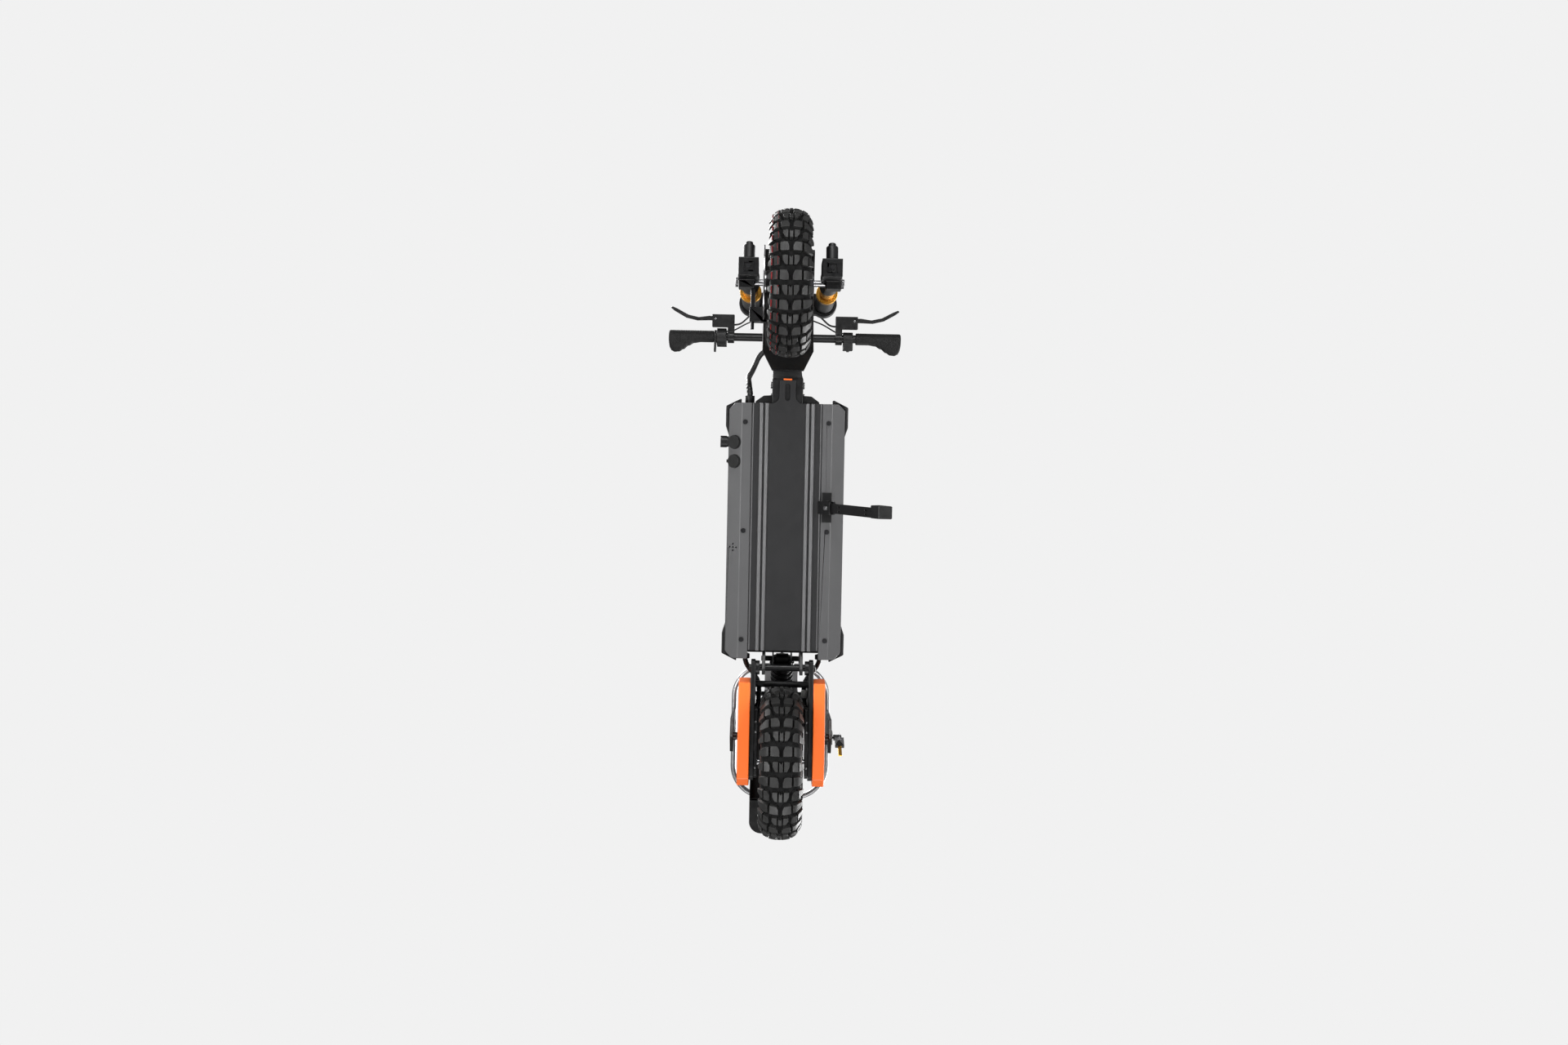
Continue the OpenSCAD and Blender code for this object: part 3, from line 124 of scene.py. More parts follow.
def make_material(name, base, rough, metallic=0.0, mottle=0.18, mottle_size=14, grain=900,
                  bump=0.12, rough_vary=0.08, wear_and_highlight=0.0, wear_and_highlight_color=(0.3, 0.3, 0.3), spec=0.5,
                  coat=0.0, stretch=(1, 1, 1)):
    """Principled finish with mottled colour, fine grain, uneven gloss, and a lighter tint on convex
    edges: light edge wear on the frame, a painted highlight on the tyre's block edges.
    """
    mat = bpy.data.materials.new(name)
    mat.use_nodes = True
    t = mat.node_tree
    n = t.nodes
    bsdf = n["Principled BSDF"]
    bsdf.inputs["Metallic"].default_value = metallic
    bsdf.inputs["Specular IOR Level"].default_value = spec
    if coat:
        bsdf.inputs["Coat Weight"].default_value = coat
        bsdf.inputs["Coat Roughness"].default_value = COAT_ROUGH
    coords = n.new("ShaderNodeTexCoord")
    mapping = n.new("ShaderNodeMapping")
    mapping.inputs["Scale"].default_value = stretch
    link(t, coords.outputs["Object"], mapping.inputs["Vector"])

    def noise_node(size, detail=4.0):
        k = n.new("ShaderNodeTexNoise")
        k.inputs["Scale"].default_value = size
        k.inputs["Detail"].default_value = detail
        k.inputs["Roughness"].default_value = NOISE_ROUGH
        link(t, mapping.outputs["Vector"], k.inputs["Vector"])
        return k

    def spread(src, low, high, lo_in=0.3, hi_in=0.7):
        k = n.new("ShaderNodeMapRange")
        k.inputs["From Min"].default_value = lo_in
        k.inputs["From Max"].default_value = hi_in
        k.inputs["To Min"].default_value = low
        k.inputs["To Max"].default_value = high
        link(t, src, k.inputs["Value"])
        return k

    big = noise_node(mottle_size)
    ramp = n.new("ShaderNodeValToRGB")
    ramp.color_ramp.elements[0].position = 0.3
    ramp.color_ramp.elements[1].position = 0.7
    ramp.color_ramp.elements[0].color = (*[c * (1 - mottle) for c in base], 1)
    ramp.color_ramp.elements[1].color = (*[min(1, c * (1 + mottle)) for c in base], 1)
    link(t, big.outputs["Fac"], ramp.inputs["Fac"])
    colour = ramp.outputs["Color"]
    # lighter tint on convex edges in patches: a painted highlight on the tyre's block edges, light
    # edge wear on the frame
    if wear_and_highlight:
        geo = n.new("ShaderNodeNewGeometry")
        edge = spread(geo.outputs["Pointiness"], 0, wear_and_highlight, 0.52, 0.6)
        patch = noise_node(WEAR_AND_HIGHLIGHT_PATCHES, 3)
        keep = spread(patch.outputs["Fac"], 0, 1, 0.45, 0.6)
        both = n.new("ShaderNodeMath")
        both.operation = "MULTIPLY"
        link(t, edge.outputs["Result"], both.inputs[0])
        link(t, keep.outputs["Result"], both.inputs[1])
        mix = n.new("ShaderNodeMix")
        mix.data_type = "RGBA"
        link(t, both.outputs[0], mix.inputs["Factor"])
        link(t, colour, mix.inputs["A"])
        mix.inputs["B"].default_value = (*wear_and_highlight_color, 1)
        colour = mix.outputs["Result"]
    link(t, colour, bsdf.inputs["Base Color"])
    mid = noise_node(GLOSS_PATCHES, 3)
    gloss = spread(mid.outputs["Fac"], max(0.03, rough - rough_vary),
                   min(1, rough + rough_vary))
    link(t, gloss.outputs["Result"], bsdf.inputs["Roughness"])
    fine = noise_node(grain, 2)
    b = n.new("ShaderNodeBump")
    b.inputs["Strength"].default_value = bump
    b.inputs["Distance"].default_value = GRAIN_DEPTH
    link(t, fine.outputs["Fac"], b.inputs["Height"])
    link(t, b.outputs["Normal"], bsdf.inputs["Normal"])
    return mat


M = {
    "panel": make_material("panel_grey_coat", (0.078, 0.078, 0.080), 0.44, mottle=0.05, grain=1500,
                           bump=0.16, rough_vary=0.04),
    "underside": make_material("underside_extrusion", (0.0145, 0.0145, 0.0153), 0.42, mottle=0.07,
                               grain=1200, bump=0.12, rough_vary=0.04, spec=0.45),
    # lighter finish for the rib crests and the panel lips: a painted highlight along them
    "rib": make_material("extruded_rib_painted_highlight", (0.105, 0.105, 0.108), 0.42, metallic=0.1, mottle=0.05,
                         grain=1200, bump=0.02, rough_vary=0.04),
    "frame_black": make_material("frame_black_coat", (0.0060, 0.0060, 0.0064), 0.36, mottle=0.15,
                                 grain=1400, bump=0.10, wear_and_highlight=0.12, wear_and_highlight_color=(0.05, 0.05, 0.05),
                                 spec=0.4),
    "grip_rubber": make_material("grip_rubber", (0.0085, 0.0085, 0.0085), 0.66, mottle=0.2,
                                 grain=2200, bump=0.35, spec=0.35),
    # the tyre's lighter tint on its block edges is a painted highlight
    "tyre": make_material("tyre_rubber", (0.0145, 0.0145, 0.0142), 0.46, mottle=0.25, mottle_size=30,
                          grain=1300, bump=0.3, wear_and_highlight=0.2, wear_and_highlight_color=(0.05, 0.049, 0.046)),
    # darker finish for the carcass between the tread blocks: a painted shade in the grooves
    "groove_painted_shade": make_material("tyre_groove", (0.0055, 0.0055, 0.0055), 0.8, mottle=0.25, grain=1300,
                            bump=0.3, spec=0.2),
    "black_plastic": make_material("black_plastic", (0.0060, 0.0060, 0.0064), 0.46, mottle=0.12,
                                   grain=1800, bump=0.25, spec=0.45),
    # darker copy of the black plastic for the rear fender: a painted shade
    "fender_black_painted_shade": make_material("fender_black_painted_shade", (0.0022, 0.0022, 0.0023), 0.55, mottle=0.15,
                                  grain=1500, bump=0.2, spec=0.15),
    "orange": make_material("orange_coat", (0.97, 0.172, 0.024), 0.42, mottle=0.035, grain=1400,
                            bump=0.12, rough_vary=0.05),
    "gold": make_material("gold_anodised", (0.86, 0.46, 0.08), 0.30, metallic=1.0, mottle=0.06,
                          grain=1500, bump=0.05),
    "steel": make_material("brushed_steel", (0.43, 0.43, 0.44), 0.30, metallic=1.0, mottle=0.07,
                           grain=1600, bump=0.08, stretch=(1, 0.15, 1)),
    "dark_alloy": make_material("dark_cast_alloy", (0.060, 0.060, 0.064), 0.42, metallic=0.8,
                                mottle=0.12, grain=700, bump=0.22),
    "alloy": make_material("satin_alloy", (0.40, 0.40, 0.41), 0.40, metallic=0.9, mottle=0.07,
                           grain=900, bump=0.12),
    "battery_wrap": make_material("battery_wrap", (0.02, 0.07, 0.22), 0.3, mottle=0.1, bump=0.05),
    "red_line": make_material("red_tread_line", (0.33, 0.018, 0.022), 0.6, mottle=0.2, bump=0.2),
    "sleeve": make_material("spiral_sleeve", (0.008, 0.008, 0.0085), 0.34, mottle=0.15, bump=0.1),
    "white_plastic": make_material("white_connector", (0.75, 0.75, 0.72), 0.4, mottle=0.05,
                                   bump=0.1),
    "lens": make_material("lamp_lens", (0.55, 0.57, 0.6), 0.12, mottle=0.05, bump=0.02, coat=0.6),
    "screen": make_material("display_glass", (0.006, 0.007, 0.010), 0.08, mottle=0.1, bump=0.01,
                            coat=1.0),
    "mat_rubber": make_material("mat_rubber", (0.011, 0.011, 0.011), 0.78, mottle=0.25, grain=700,
                                bump=0.45, spec=0.3),
    "dark_screw": make_material("dark_screw", (0.03, 0.03, 0.032), 0.35, metallic=0.7, mottle=0.1,
                                bump=0.08),
}


# ----------------------------------------------------------- mesh helpers
MERGE, SLIVER, FLAT = 1e-5, 1e-6, math.radians(0.5)   # cleaning of the CAD meshes, in metres


def finish_piece(name, bm, mats, body, replaces=(), bevel=0.0, segments=2, angle=32, scale=MM,
                 bend=None):
    """Turns a bmesh into a piece that rides on a body, or, when bend is given, stays where it is
    built without a body; scale makes metres.
    """
    if scale != 1:
        bmesh.ops.scale(bm, vec=(scale,) * 3, verts=bm.verts)
    bmesh.ops.recalc_face_normals(bm, faces=bm.faces)
    mesh = bpy.data.meshes.new(name)
    for f in bm.faces:
        f.smooth = True
    limit = math.radians(angle)
    for e in bm.edges:
        e.smooth = not (len(e.link_faces) == 2 and e.calc_face_angle(0) > limit)
    bm.to_mesh(mesh)
    bm.free()
    for m in mats:
        mesh.materials.append(M[m])
    obj = bpy.data.objects.new(name, mesh)
    scene.collection.objects.link(obj)
    if bevel:
        mod = obj.modifiers.new("edges", "BEVEL")
        mod.width, mod.segments = bevel, segments
        mod.limit_method, mod.angle_limit = "ANGLE", limit
        mod.use_clamp_overlap = False
        mod.harden_normals = True
    if bend:
        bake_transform(obj)
    else:
        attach(obj, body)
    if replaces:
        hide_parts(*replaces)
    return obj


def refine(node, mats, pick=None, bevel=0.0007, angle=32, edit=None):
    """The CAD node's own shape with eased edges; pick(middle, normal) numbers a face's finish."""
    bm = bmesh.new()
    bm.from_mesh(nodes[node].data)
    bmesh.ops.remove_doubles(bm, verts=bm.verts, dist=MERGE)
    bmesh.ops.dissolve_degenerate(bm, dist=SLIVER, edges=bm.edges)
    bmesh.ops.dissolve_limit(bm, angle_limit=FLAT, verts=bm.verts, edges=bm.edges)
    if edit:
        edit(bm)
    for f in bm.faces:
        c = f.calc_center_median() / MM
        f.material_index = pick(c, f.normal) if pick else 0
    finish_piece(node + "_skin", bm, mats, body_of[node], [node], bevel, angle=angle, scale=1)


def ring_tube(bm, path, radius, sides, shape=None):
    """Sweeps a round section along points; shape(i, angle) scales the radius."""
    pts = [Vector(p) for p in path]
    last = len(pts) - 1
    rings, up = [], None
    for i, p in enumerate(pts):
        d = (pts[min(i + 1, last)] - pts[max(i - 1, 0)]).normalized()
        if up is None:
            up = Vector((0, 0, 1)) if abs(d.z) < 0.9 else Vector((1, 0, 0))
        up = (up - d * up.dot(d)).normalized()
        other = d.cross(up)
        ring = []
        for k in range(sides):
            t = 2 * math.pi * k / sides
            r = radius * (shape(i, t) if shape else 1)
            ring.append(bm.verts.new(p + up * (r * math.cos(t)) + other * (r * math.sin(t))))
        rings.append(ring)
    for a, b in zip(rings, rings[1:]):
        for k in range(sides):
            j = (k + 1) % sides
            bm.faces.new((a[k], a[j], b[j], b[k]))
    bm.faces.new(list(reversed(rings[0])))
    bm.faces.new(rings[-1])


def route(points, steps):
    """Smooth line through given points."""
    pts = [Vector(p) for p in points]
    out = []
    for i in range(len(pts) - 1):
        p0, p1, p2, p3 = pts[max(0, i - 1)], pts[i], pts[i + 1], pts[min(len(pts) - 1, i + 2)]
        for s in range(steps):
            t = s / steps
            out.append(0.5 * (2 * p1 + (p2 - p0) * t + (2 * p0 - 5 * p1 + 4 * p2 - p3) * t * t
                              + (3 * p1 - p0 - 3 * p2 + p3) * t ** 3))
    return out + [pts[-1]]


def resample(path, gap):
    """Points a fixed distance apart along a line."""
    out, left = [path[0].copy()], gap
    for a, b in zip(path, path[1:]):
        d = (b - a).length
        at = left
        while at <= d:
            out.append(a.lerp(b, at / d))
            at += gap
        left = at - d
    if (out[-1] - path[-1]).length > gap * 0.3:
        out.append(path[-1].copy())
    return out


def add_box(bm, low, high):
    """Box between two corners."""
    vs = [bm.verts.new((x, y, z)) for x in (low[0], high[0]) for y in (low[1], high[1])
          for z in (low[2], high[2])]
    for f in ((0, 1, 3, 2), (4, 6, 7, 5), (0, 4, 5, 1), (2, 3, 7, 6), (0, 2, 6, 4), (1, 5, 7, 3)):
        bm.faces.new([vs[i] for i in f])


def add_prism(bm, outline, low, high, axis=1):
    """Closed prism of a 2D outline; axis is the direction it is extruded in."""
    def at(p, h):
        q = [p[0], p[1]]
        q.insert(axis, h)
        return q

    a = [bm.verts.new(at(p, low)) for p in outline]
    b = [bm.verts.new(at(p, high)) for p in outline]
    bm.faces.new(a)
    bm.faces.new(list(reversed(b)))
    for i in range(len(a)):
        j = (i + 1) % len(a)
        bm.faces.new((a[i], b[i], b[j], a[j]))


# ------------------------------------------------------------------ tyres
TREAD_ROWS, CARCASS_STEPS = 32, 120
TREAD_R = TYRE_R - 4                          # radius at which the blocks' widths are measured
BLOCK_SINK = -1.2                             # blocks start this far inside the carcass
SHOULDER_T = 31                               # distance from the crown where the sidewall starts
BEAD_HALF = 27
BARE_HALF, BARE_R = 36.3, RIM_R + 24          # the carcass takes the darker groove finish inside these, a painted shade between the blocks

# A block is a list of stations (t, from, to): t is the distance from the crown over the carcass,
# from and to are its edges around the wheel. Then come its heights on the tread and on the
# sidewall, and the taper of its sides. All but the keystone are mirrored for the other side.
KEYSTONE = ((-3.4, -8.8, 9.6), (0, -5.4, 9.8), (3.4, -8.8, 9.6))
ODD_ROW = (
    (((4.6, -9.6, 9.4), (9.0, -9.8, 9.2), (14.4, -9.4, 0.6)), (7.8, 7.8), 0.9),
    (((17.6, -3.4, 8.8), (22.4, -9.4, 9.6), (28.4, -9.6, 9.8)), (7.2, 7.2), 0.9),
    (((30.0, -9.2, 9.4), (34.0, -8.2, 8.8), (40.0, -6.6, 7.4), (47.0, -4.6, 6.2)), (6.6, 4.8), 0.9),
)
EVEN_ROW = (
    (((2.6, -0.8, 9.6), (6.6, -9.2, 9.8), (11.0, -9.8, 9.8), (17.6, -9.6, 9.2)), (7.8, 7.8), 0.9),
    (((20.4, -9.0, 8.6), (26.0, -9.4, 9.4), (31.6, -8.4, 9.2), (37.0, -7.0, 7.8),
      (42.0, -5.6, 6.6)), (7.2, 5.0), 0.9),
    (((43.4, -3.8, 5.2), (48.5, -3.0, 4.4)), (3.0, 3.0), 0.6),
)
LINE_HEIGHTS, LINE_TAPER = (7.9, 7.4), 0.1


def tyre_profile():
    """Carcass half profile from the crown to the bead: (width, radius)."""
    w, r = TYRE_W / 2, TYRE_R
    return [(0, r - 8.0), (8, r - 8.4), (16, r - 9.8), (23, r - 12.4), (29, r - 16.6),
            (33.5, r - 22), (36.2, r - 29), (36.8, r - 36), (35.6, r - 43), (33, RIM_R + 5),
            (30.6, RIM_R + 1.5), (29.5, RIM_R)]


def profile_point(prof, t):
    """Point and outward normal at arc length t from the crown (negative is the -Y side)."""
    side = -1 if t < 0 else 1
    left = abs(t)
    for a, b in zip(prof, prof[1:]):
        d = math.hypot(b[0] - a[0], b[1] - a[1])
        if left <= d:
            k = left / d
            tx, tr = (b[0] - a[0]) / d, (b[1] - a[1]) / d
            return (side * (a[0] + (b[0] - a[0]) * k), a[1] + (b[1] - a[1]) * k,
                    side * -tr, tx)
        left -= d
    return (side * prof[-1][0], prof[-1][1], side, 0)


def make_tyre(name, node, xc, lines):
    """Carcass with rows of tread blocks, and thin red lines on the -Y side if asked for."""
    bm = bmesh.new()
    prof = tyre_profile()
    full = [(-w, r) for w, r in reversed(prof[1:])] + prof
    full += [(BEAD_HALF, RIM_R + 1), (-BEAD_HALF, RIM_R + 1)]
    rings = []
    for i in range(CARCASS_STEPS):
        a = 2 * math.pi * i / CARCASS_STEPS
        rings.append([bm.verts.new((xc + r * math.cos(a), w, TYRE_R + r * math.sin(a)))
                      for w, r in full])
    m = len(full)
    for i in range(CARCASS_STEPS):
        p, q = rings[i], rings[(i + 1) % CARCASS_STEPS]
        for k in range(m):
            f = bm.faces.new((p[k], p[(k + 1) % m], q[(k + 1) % m], q[k]))
            c = f.calc_center_median()
            # carcass faces between the blocks take the darker groove finish, a painted shade
            if abs(c.y) < BARE_HALF and math.hypot(c.x - xc, c.z - TYRE_R) > BARE_R:
                f.material_index = 2

    def place(base, s, t, h):
        w, r, nw, nr = profile_point(prof, t)
        r2 = r + nr * h
        a = base - s / TREAD_R
        return bm.verts.new((xc + r2 * math.cos(a), w + nw * h, TYRE_R + r2 * math.sin(a)))

    def block(base, stations, heights, taper, mat=0):
        rows = []
        outward = 1 if stations[-1][0] > stations[0][0] else -1
        for j, (t, s0, s1) in enumerate(stations):
            end = -1 if j == 0 else (1 if j == len(stations) - 1 else 0)
            top_t = t - end * outward * taper * 0.7
            h = heights[0] if abs(t) < SHOULDER_T else heights[1]
            rows.append((place(base, s0, t, BLOCK_SINK), place(base, s0 + taper, top_t, h),
                         place(base, s1 - taper, top_t, h), place(base, s1, t, BLOCK_SINK)))
        made = [bm.faces.new(rows[0]), bm.faces.new(list(reversed(rows[-1])))]
        for p, q in zip(rows, rows[1:]):
            for k in range(3):
                made.append(bm.faces.new((p[k], p[k + 1], q[k + 1], q[k])))
        for f in made:
            f.material_index = mat

    for row in range(TREAD_ROWS):
        base = 2 * math.pi * row / TREAD_ROWS
        odd = row % 2
        if odd:
            block(base, KEYSTONE, (8.0, 8.0), 0.9)
        for side in (1, -1):
            for stations, heights, taper in (ODD_ROW if odd else EVEN_ROW):
                block(base, [(side * t, s0, s1) for t, s0, s1 in stations], heights, taper)
        if lines:
            inner = -20.6 if odd else -22.2
            block(base, ((inner, -8.0, 7.8), (inner - 1, -8.0, 7.8)), LINE_HEIGHTS, LINE_TAPER, 1)
            block(base, ((-31, -6.4, 8.0), (-32, -6.4, 8.0)), LINE_HEIGHTS, LINE_TAPER, 1)
    finish_piece(name, bm, ["tyre", "red_line", "groove_painted_shade"], body_of[node], [node], 0.0005, 1, 38)


make_tyre("front_tyre_tread", "front_tyre", X_FRONT, True)
make_tyre("rear_tyre_tread", "rear_tyre", X_REAR, False)

# ------------------------------------------------------------------ grips
GRIP_R, GRIP_SIDES = 16, 40
PALM_REACH, PALM_THIN = 28, 7.5               # the palm rest's widening and thinning
END_ROUND, START_ROUND = 5, 1.5
GRIP_RIB, GRIP_RIB_PITCH = 0.35, 4.2


def make_grip(node, side):
    """Ribbed round grip that widens backwards into a flat palm rest near its outer end."""
    low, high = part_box(node)
    y0, y1 = (low.y, high.y) if side > 0 else (-high.y, -low.y)
    y0, y1 = y0 / MM, y1 / MM
    length = y1 - y0
    bm, rings = bmesh.new(), []
    flare = [(0, GRIP_R), (34, GRIP_R), (52, 18.5), (68, 26), (82, 36), (94, 42.5), (106, 43.5),
             (114, 40), (119, 33), (length, 25)]

    def reach(y):
        for (a, va), (b, vb) in zip(flare, flare[1:]):
            if y <= b:
                k = (y - a) / (b - a)
                k = k * k * (3 - 2 * k)
                return va + (vb - va) * k
        return flare[-1][1]

    steps = int(length)
    for i in range(steps + 1):
        y = length * i / steps
        e = reach(y)
        lobe = (e - GRIP_R) / PALM_REACH
        end = min(1.0, (length - y) / END_ROUND)
        ease = math.sqrt(max(0.0, 1 - (1 - end) ** 2)) * 0.25 + 0.75
        start = 1.0 if y > START_ROUND else 0.93 + 0.045 * y
        ribbed = 8 < y < length - 12
        rib = GRIP_RIB * math.cos(2 * math.pi * y / GRIP_RIB_PITCH) if ribbed else 0
        ring = []
        for k in range(GRIP_SIDES):
            a = 2 * math.pi * k / GRIP_SIDES
            c, s = math.cos(a), math.sin(a)
            flat = max(0.0, -c)
            x = GRIP_R * c if c > 0 else -e * flat ** (1 - 0.25 * lobe)
            z = s * (GRIP_R - PALM_THIN * lobe * flat ** 1.2)
            f = ease * start * (1 + rib / GRIP_R * (1 if c > -0.35 else 0.25))
            ring.append(bm.verts.new((X_BAR + x * f, side * (y0 + y), BAR_Z + z * f)))
        rings.append(ring)
    for a, b in zip(rings, rings[1:]):
        for k in range(GRIP_SIDES):
            j = (k + 1) % GRIP_SIDES
            bm.faces.new((a[k], a[j], b[j], b[k]))
    bm.faces.new(list(reversed(rings[0])))
    bm.faces.new(rings[-1])
    finish_piece(node + "_soft", bm, ["grip_rubber"], body_of[node], [node], angle=50)


make_grip("grip_left", 1)
make_grip("grip_right", -1)

# ----------------------------------------------------------------- cables
SLEEVE_STEP = 1.4                             # gap between the rings of a spiral sleeve


def simple_cable(name, points, d, body, replaces=()):
    """Plain black cable along a route."""
    bm = bmesh.new()
    ring_tube(bm, resample(route(points, 10), max(2.0, d * 0.6)), d / 2, 12)
    finish_piece(name, bm, ["black_plastic"], body, replaces, angle=60)


def spiral_cable(name, points, d, body, replaces=(), pitch=9.0, bend=None):
    """Cable wrapped in a spiral sleeve."""
    def shape(i, t):
        phase = (i * SLEEVE_STEP / pitch + t / (2 * math.pi)) % 1.0
        return 1.0 if phase < 0.72 else 0.86

    bm = bmesh.new()
    ring_tube(bm, resample(route(points, 16), SLEEVE_STEP), d / 2, 18, shape=shape)
    finish_piece(name, bm, ["sleeve"], body, replaces, angle=60, bend=bend)


NECK_GLAND = (X_DECK + 116, CROWN_Z + 46)
HARNESS_Z = DECK_Z + 46
spiral_cable("harness_wrapped", [
    (X_DECK - 4, -71, HARNESS_Z), (X_DECK + 16, -71, HARNESS_Z), (X_DECK + 36, -74, HARNESS_Z + 16),
    (X_DECK + 48, -76, HARNESS_Z + 54), (X_DECK + 56, -75, HARNESS_Z + 110),
    (X_DECK + 68, -71, HARNESS_Z + 170), (X_DECK + 84, -66, HARNESS_Z + 230),
    (X_DECK + 102, -60, HARNESS_Z + 288),
    (NECK_GLAND[0], -50, NECK_GLAND[1]), (NECK_GLAND[0], -38, NECK_GLAND[1]),
    (NECK_GLAND[0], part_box("neck_frame")[0].y / MM + 6, NECK_GLAND[1])],
    11.8, body_of["wire_harness"], ["wire_harness"])

HOSE_TOP = CROWN_UP - 4
simple_cable("front_brake_line", [
    (X_FRONT - 60, -66, TYRE_R + 44.3), (X_FRONT - 61, -68, TYRE_R + 80),
    (X_FRONT - 56, -64, TYRE_R + 130), (X_FRONT - 40, -57, TYRE_R + 180),
    fork_pos(PORT_U, -PORT_V, HOSE_TOP - 96), fork_pos(PORT_U, -PORT_V, HOSE_TOP - 62),
    fork_pos(PORT_U, -PORT_V, HOSE_TOP - 28), fork_pos(PORT_U, -PORT_V, HOSE_TOP)],
    5, body_of["front_brake_hose"], replaces=["front_brake_hose"])

ENTRY = Vector(fork_pos(26, 0, 844))
for side, word in reversed(RIGHT_LEFT):
    brake = [(X_BAR + 33, 136.8, BAR_Z), (X_BAR + 38, 118, BAR_Z - 2), (X_BAR + 66, 84, BAR_Z - 12),
             (X_BAR + 74, 44, BAR_Z - 50), (X_BAR + 58, 18, BAR_Z - 120),
             ENTRY + Vector((6, 11, 50)), ENTRY + Vector((0, 11, 0.1))]
    pod = [(X_BAR + 16, 157.8, BAR_Z + 14), (X_BAR + 20, 138, BAR_Z + 22),
           (X_BAR + 40, 100, BAR_Z + 16), (X_BAR + 52, 52, BAR_Z - 20),
           (X_BAR + 44, 16, BAR_Z - 90), ENTRY + Vector((4, 4, 60)), ENTRY + Vector((0, 4, 0.1))]
    for name, line, d in (("brake_cable", brake, 5), ("pod_cable", pod, 4)):
        line = [(p[0], side * p[1], p[2]) for p in line]
        simple_cable(name + "_" + word, line, d, body_of["bar_cables"],
                     replaces=["bar_cables"] if name == "brake_cable" and side > 0 else ())


# ------------------------------------------------------ CAD shapes, refined
MAT_ROW, MAT_STEP = 11, 16                    # pitch of the mat's bars along X and Y
STANCHION_W, FOOT_U = 96.5, 27                # gold above the first, end cap forward of the second


def fork_uw(c):
    """A point's distance forward of the leg and up along it."""
    dx, dz = c.x - X_LEG, c.z - TYRE_R
    return dx * math.cos(LEAN) + dz * math.sin(LEAN), -dx * math.sin(LEAN) + dz * math.cos(LEAN)


def tread_bar(bm, x, y, z, lean):
    """One slanted anti-slip bar with tapered sides, placed in millimetres, built in metres."""
    base = [(x - 2 + lean, y - 6), (x + 2 + lean, y - 6), (x + 2 - lean, y + 6),
            (x - 2 - lean, y + 6)]
    low = [bm.verts.new((px * MM, py * MM, (z - 0.4) * MM)) for px, py in base]
    top = [bm.verts.new((((px - x) * 0.82 + x) * MM, ((py - y) * 0.92 + y) * MM, (z + 1.3) * MM))
           for px, py in base]
    bm.faces.new(top)
    bm.faces.new(list(reversed(low)))
    for i in range(4):
        j = (i + 1) % 4
        bm.faces.new((low[i], low[j], top[j], top[i]))


def tread_bars(bm):
    """Rows of raised anti-slip bars over the mat, clear of its corners."""
    low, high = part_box("grip_mat")
    low, high = low / MM, high / MM
    row, x = 0, low.x + 16
    while x < high.x - 16:
        y = low.y + 20 + (7 if row % 2 else 0)
        while y < high.y - 20:
            corner = min(x - low.x, high.x - x) < 34 and abs(y) > high.y - 44
            if not corner:
                tread_bar(bm, x, y, high.z, 4 if row % 2 else -4)
            y += MAT_STEP
        x += MAT_ROW
        row += 1


def lowers_pick(c, n):
    u, w = fork_uw(c)
    if w > STANCHION_W:
        return 2
    return 1 if u > FOOT_U else 0


PLAIN = {
    "side_panel_left": ("panel", 0.0012), "side_panel_right": ("panel", 0.0012),
    "deck_plate": ("frame_black", 0.0008),
    "end_bulkheads": ("frame_black", 0.0008), "neck_frame": ("frame_black", 0.0014),
    "battery_pack": ("battery_wrap", 0.002), "motor_controller": ("alloy", 0.001),
    "corner_bumpers": ("black_plastic", 0.0018), "charge_sockets": ("black_plastic", 0.0005),
    "harness_glands": ("black_plastic", 0.0007), "headset_cups": ("dark_alloy", 0.0007),
    "fork_crown": ("frame_black", 0.0014), "fork_upper_tubes": ("frame_black", 0.0008),
    "gold_collars": ("gold", 0.0008), "front_fender": ("black_plastic", 0.0009),
    "fold_base": ("frame_black", 0.0010), "front_axle": ("steel", 0.0006),
    "front_hub": ("dark_alloy", 0.0009), "front_disc": ("steel", 0.0003),
    "stem_tube": ("frame_black", 0.0009), "fold_latch": ("dark_alloy", 0.0008),
    "handlebar": ("frame_black", 0.0005), "brake_lever_left": ("frame_black", 0.0016),
    "brake_lever_right": ("frame_black", 0.0016), "switch_pod": ("black_plastic", 0.0012),
    "throttle_paddle": ("black_plastic", 0.0010), "horn_button": ("black_plastic", 0.0005),
    "light_button": ("alloy", 0.0005), "arm_covers": ("orange", 0.0018),
    "rear_fender": ("fender_black_painted_shade", 0.0009), "hoop_lock": ("frame_black", 0.0009),
    "shock_body": ("frame_black", 0.0008), "shock_shaft": ("steel", 0.0006),
    "kickstand_leg": ("frame_black", 0.0009), "kickstand_foot": ("black_plastic", 0.0016),
    "charge_cap_front": ("grip_rubber", 0.0005), "charge_cap_rear": ("grip_rubber", 0.0005),
    "power_knob": ("black_plastic", 0.0007),
}
for node, (mat, bevel) in PLAIN.items():
    refine(node, [mat], bevel=bevel)

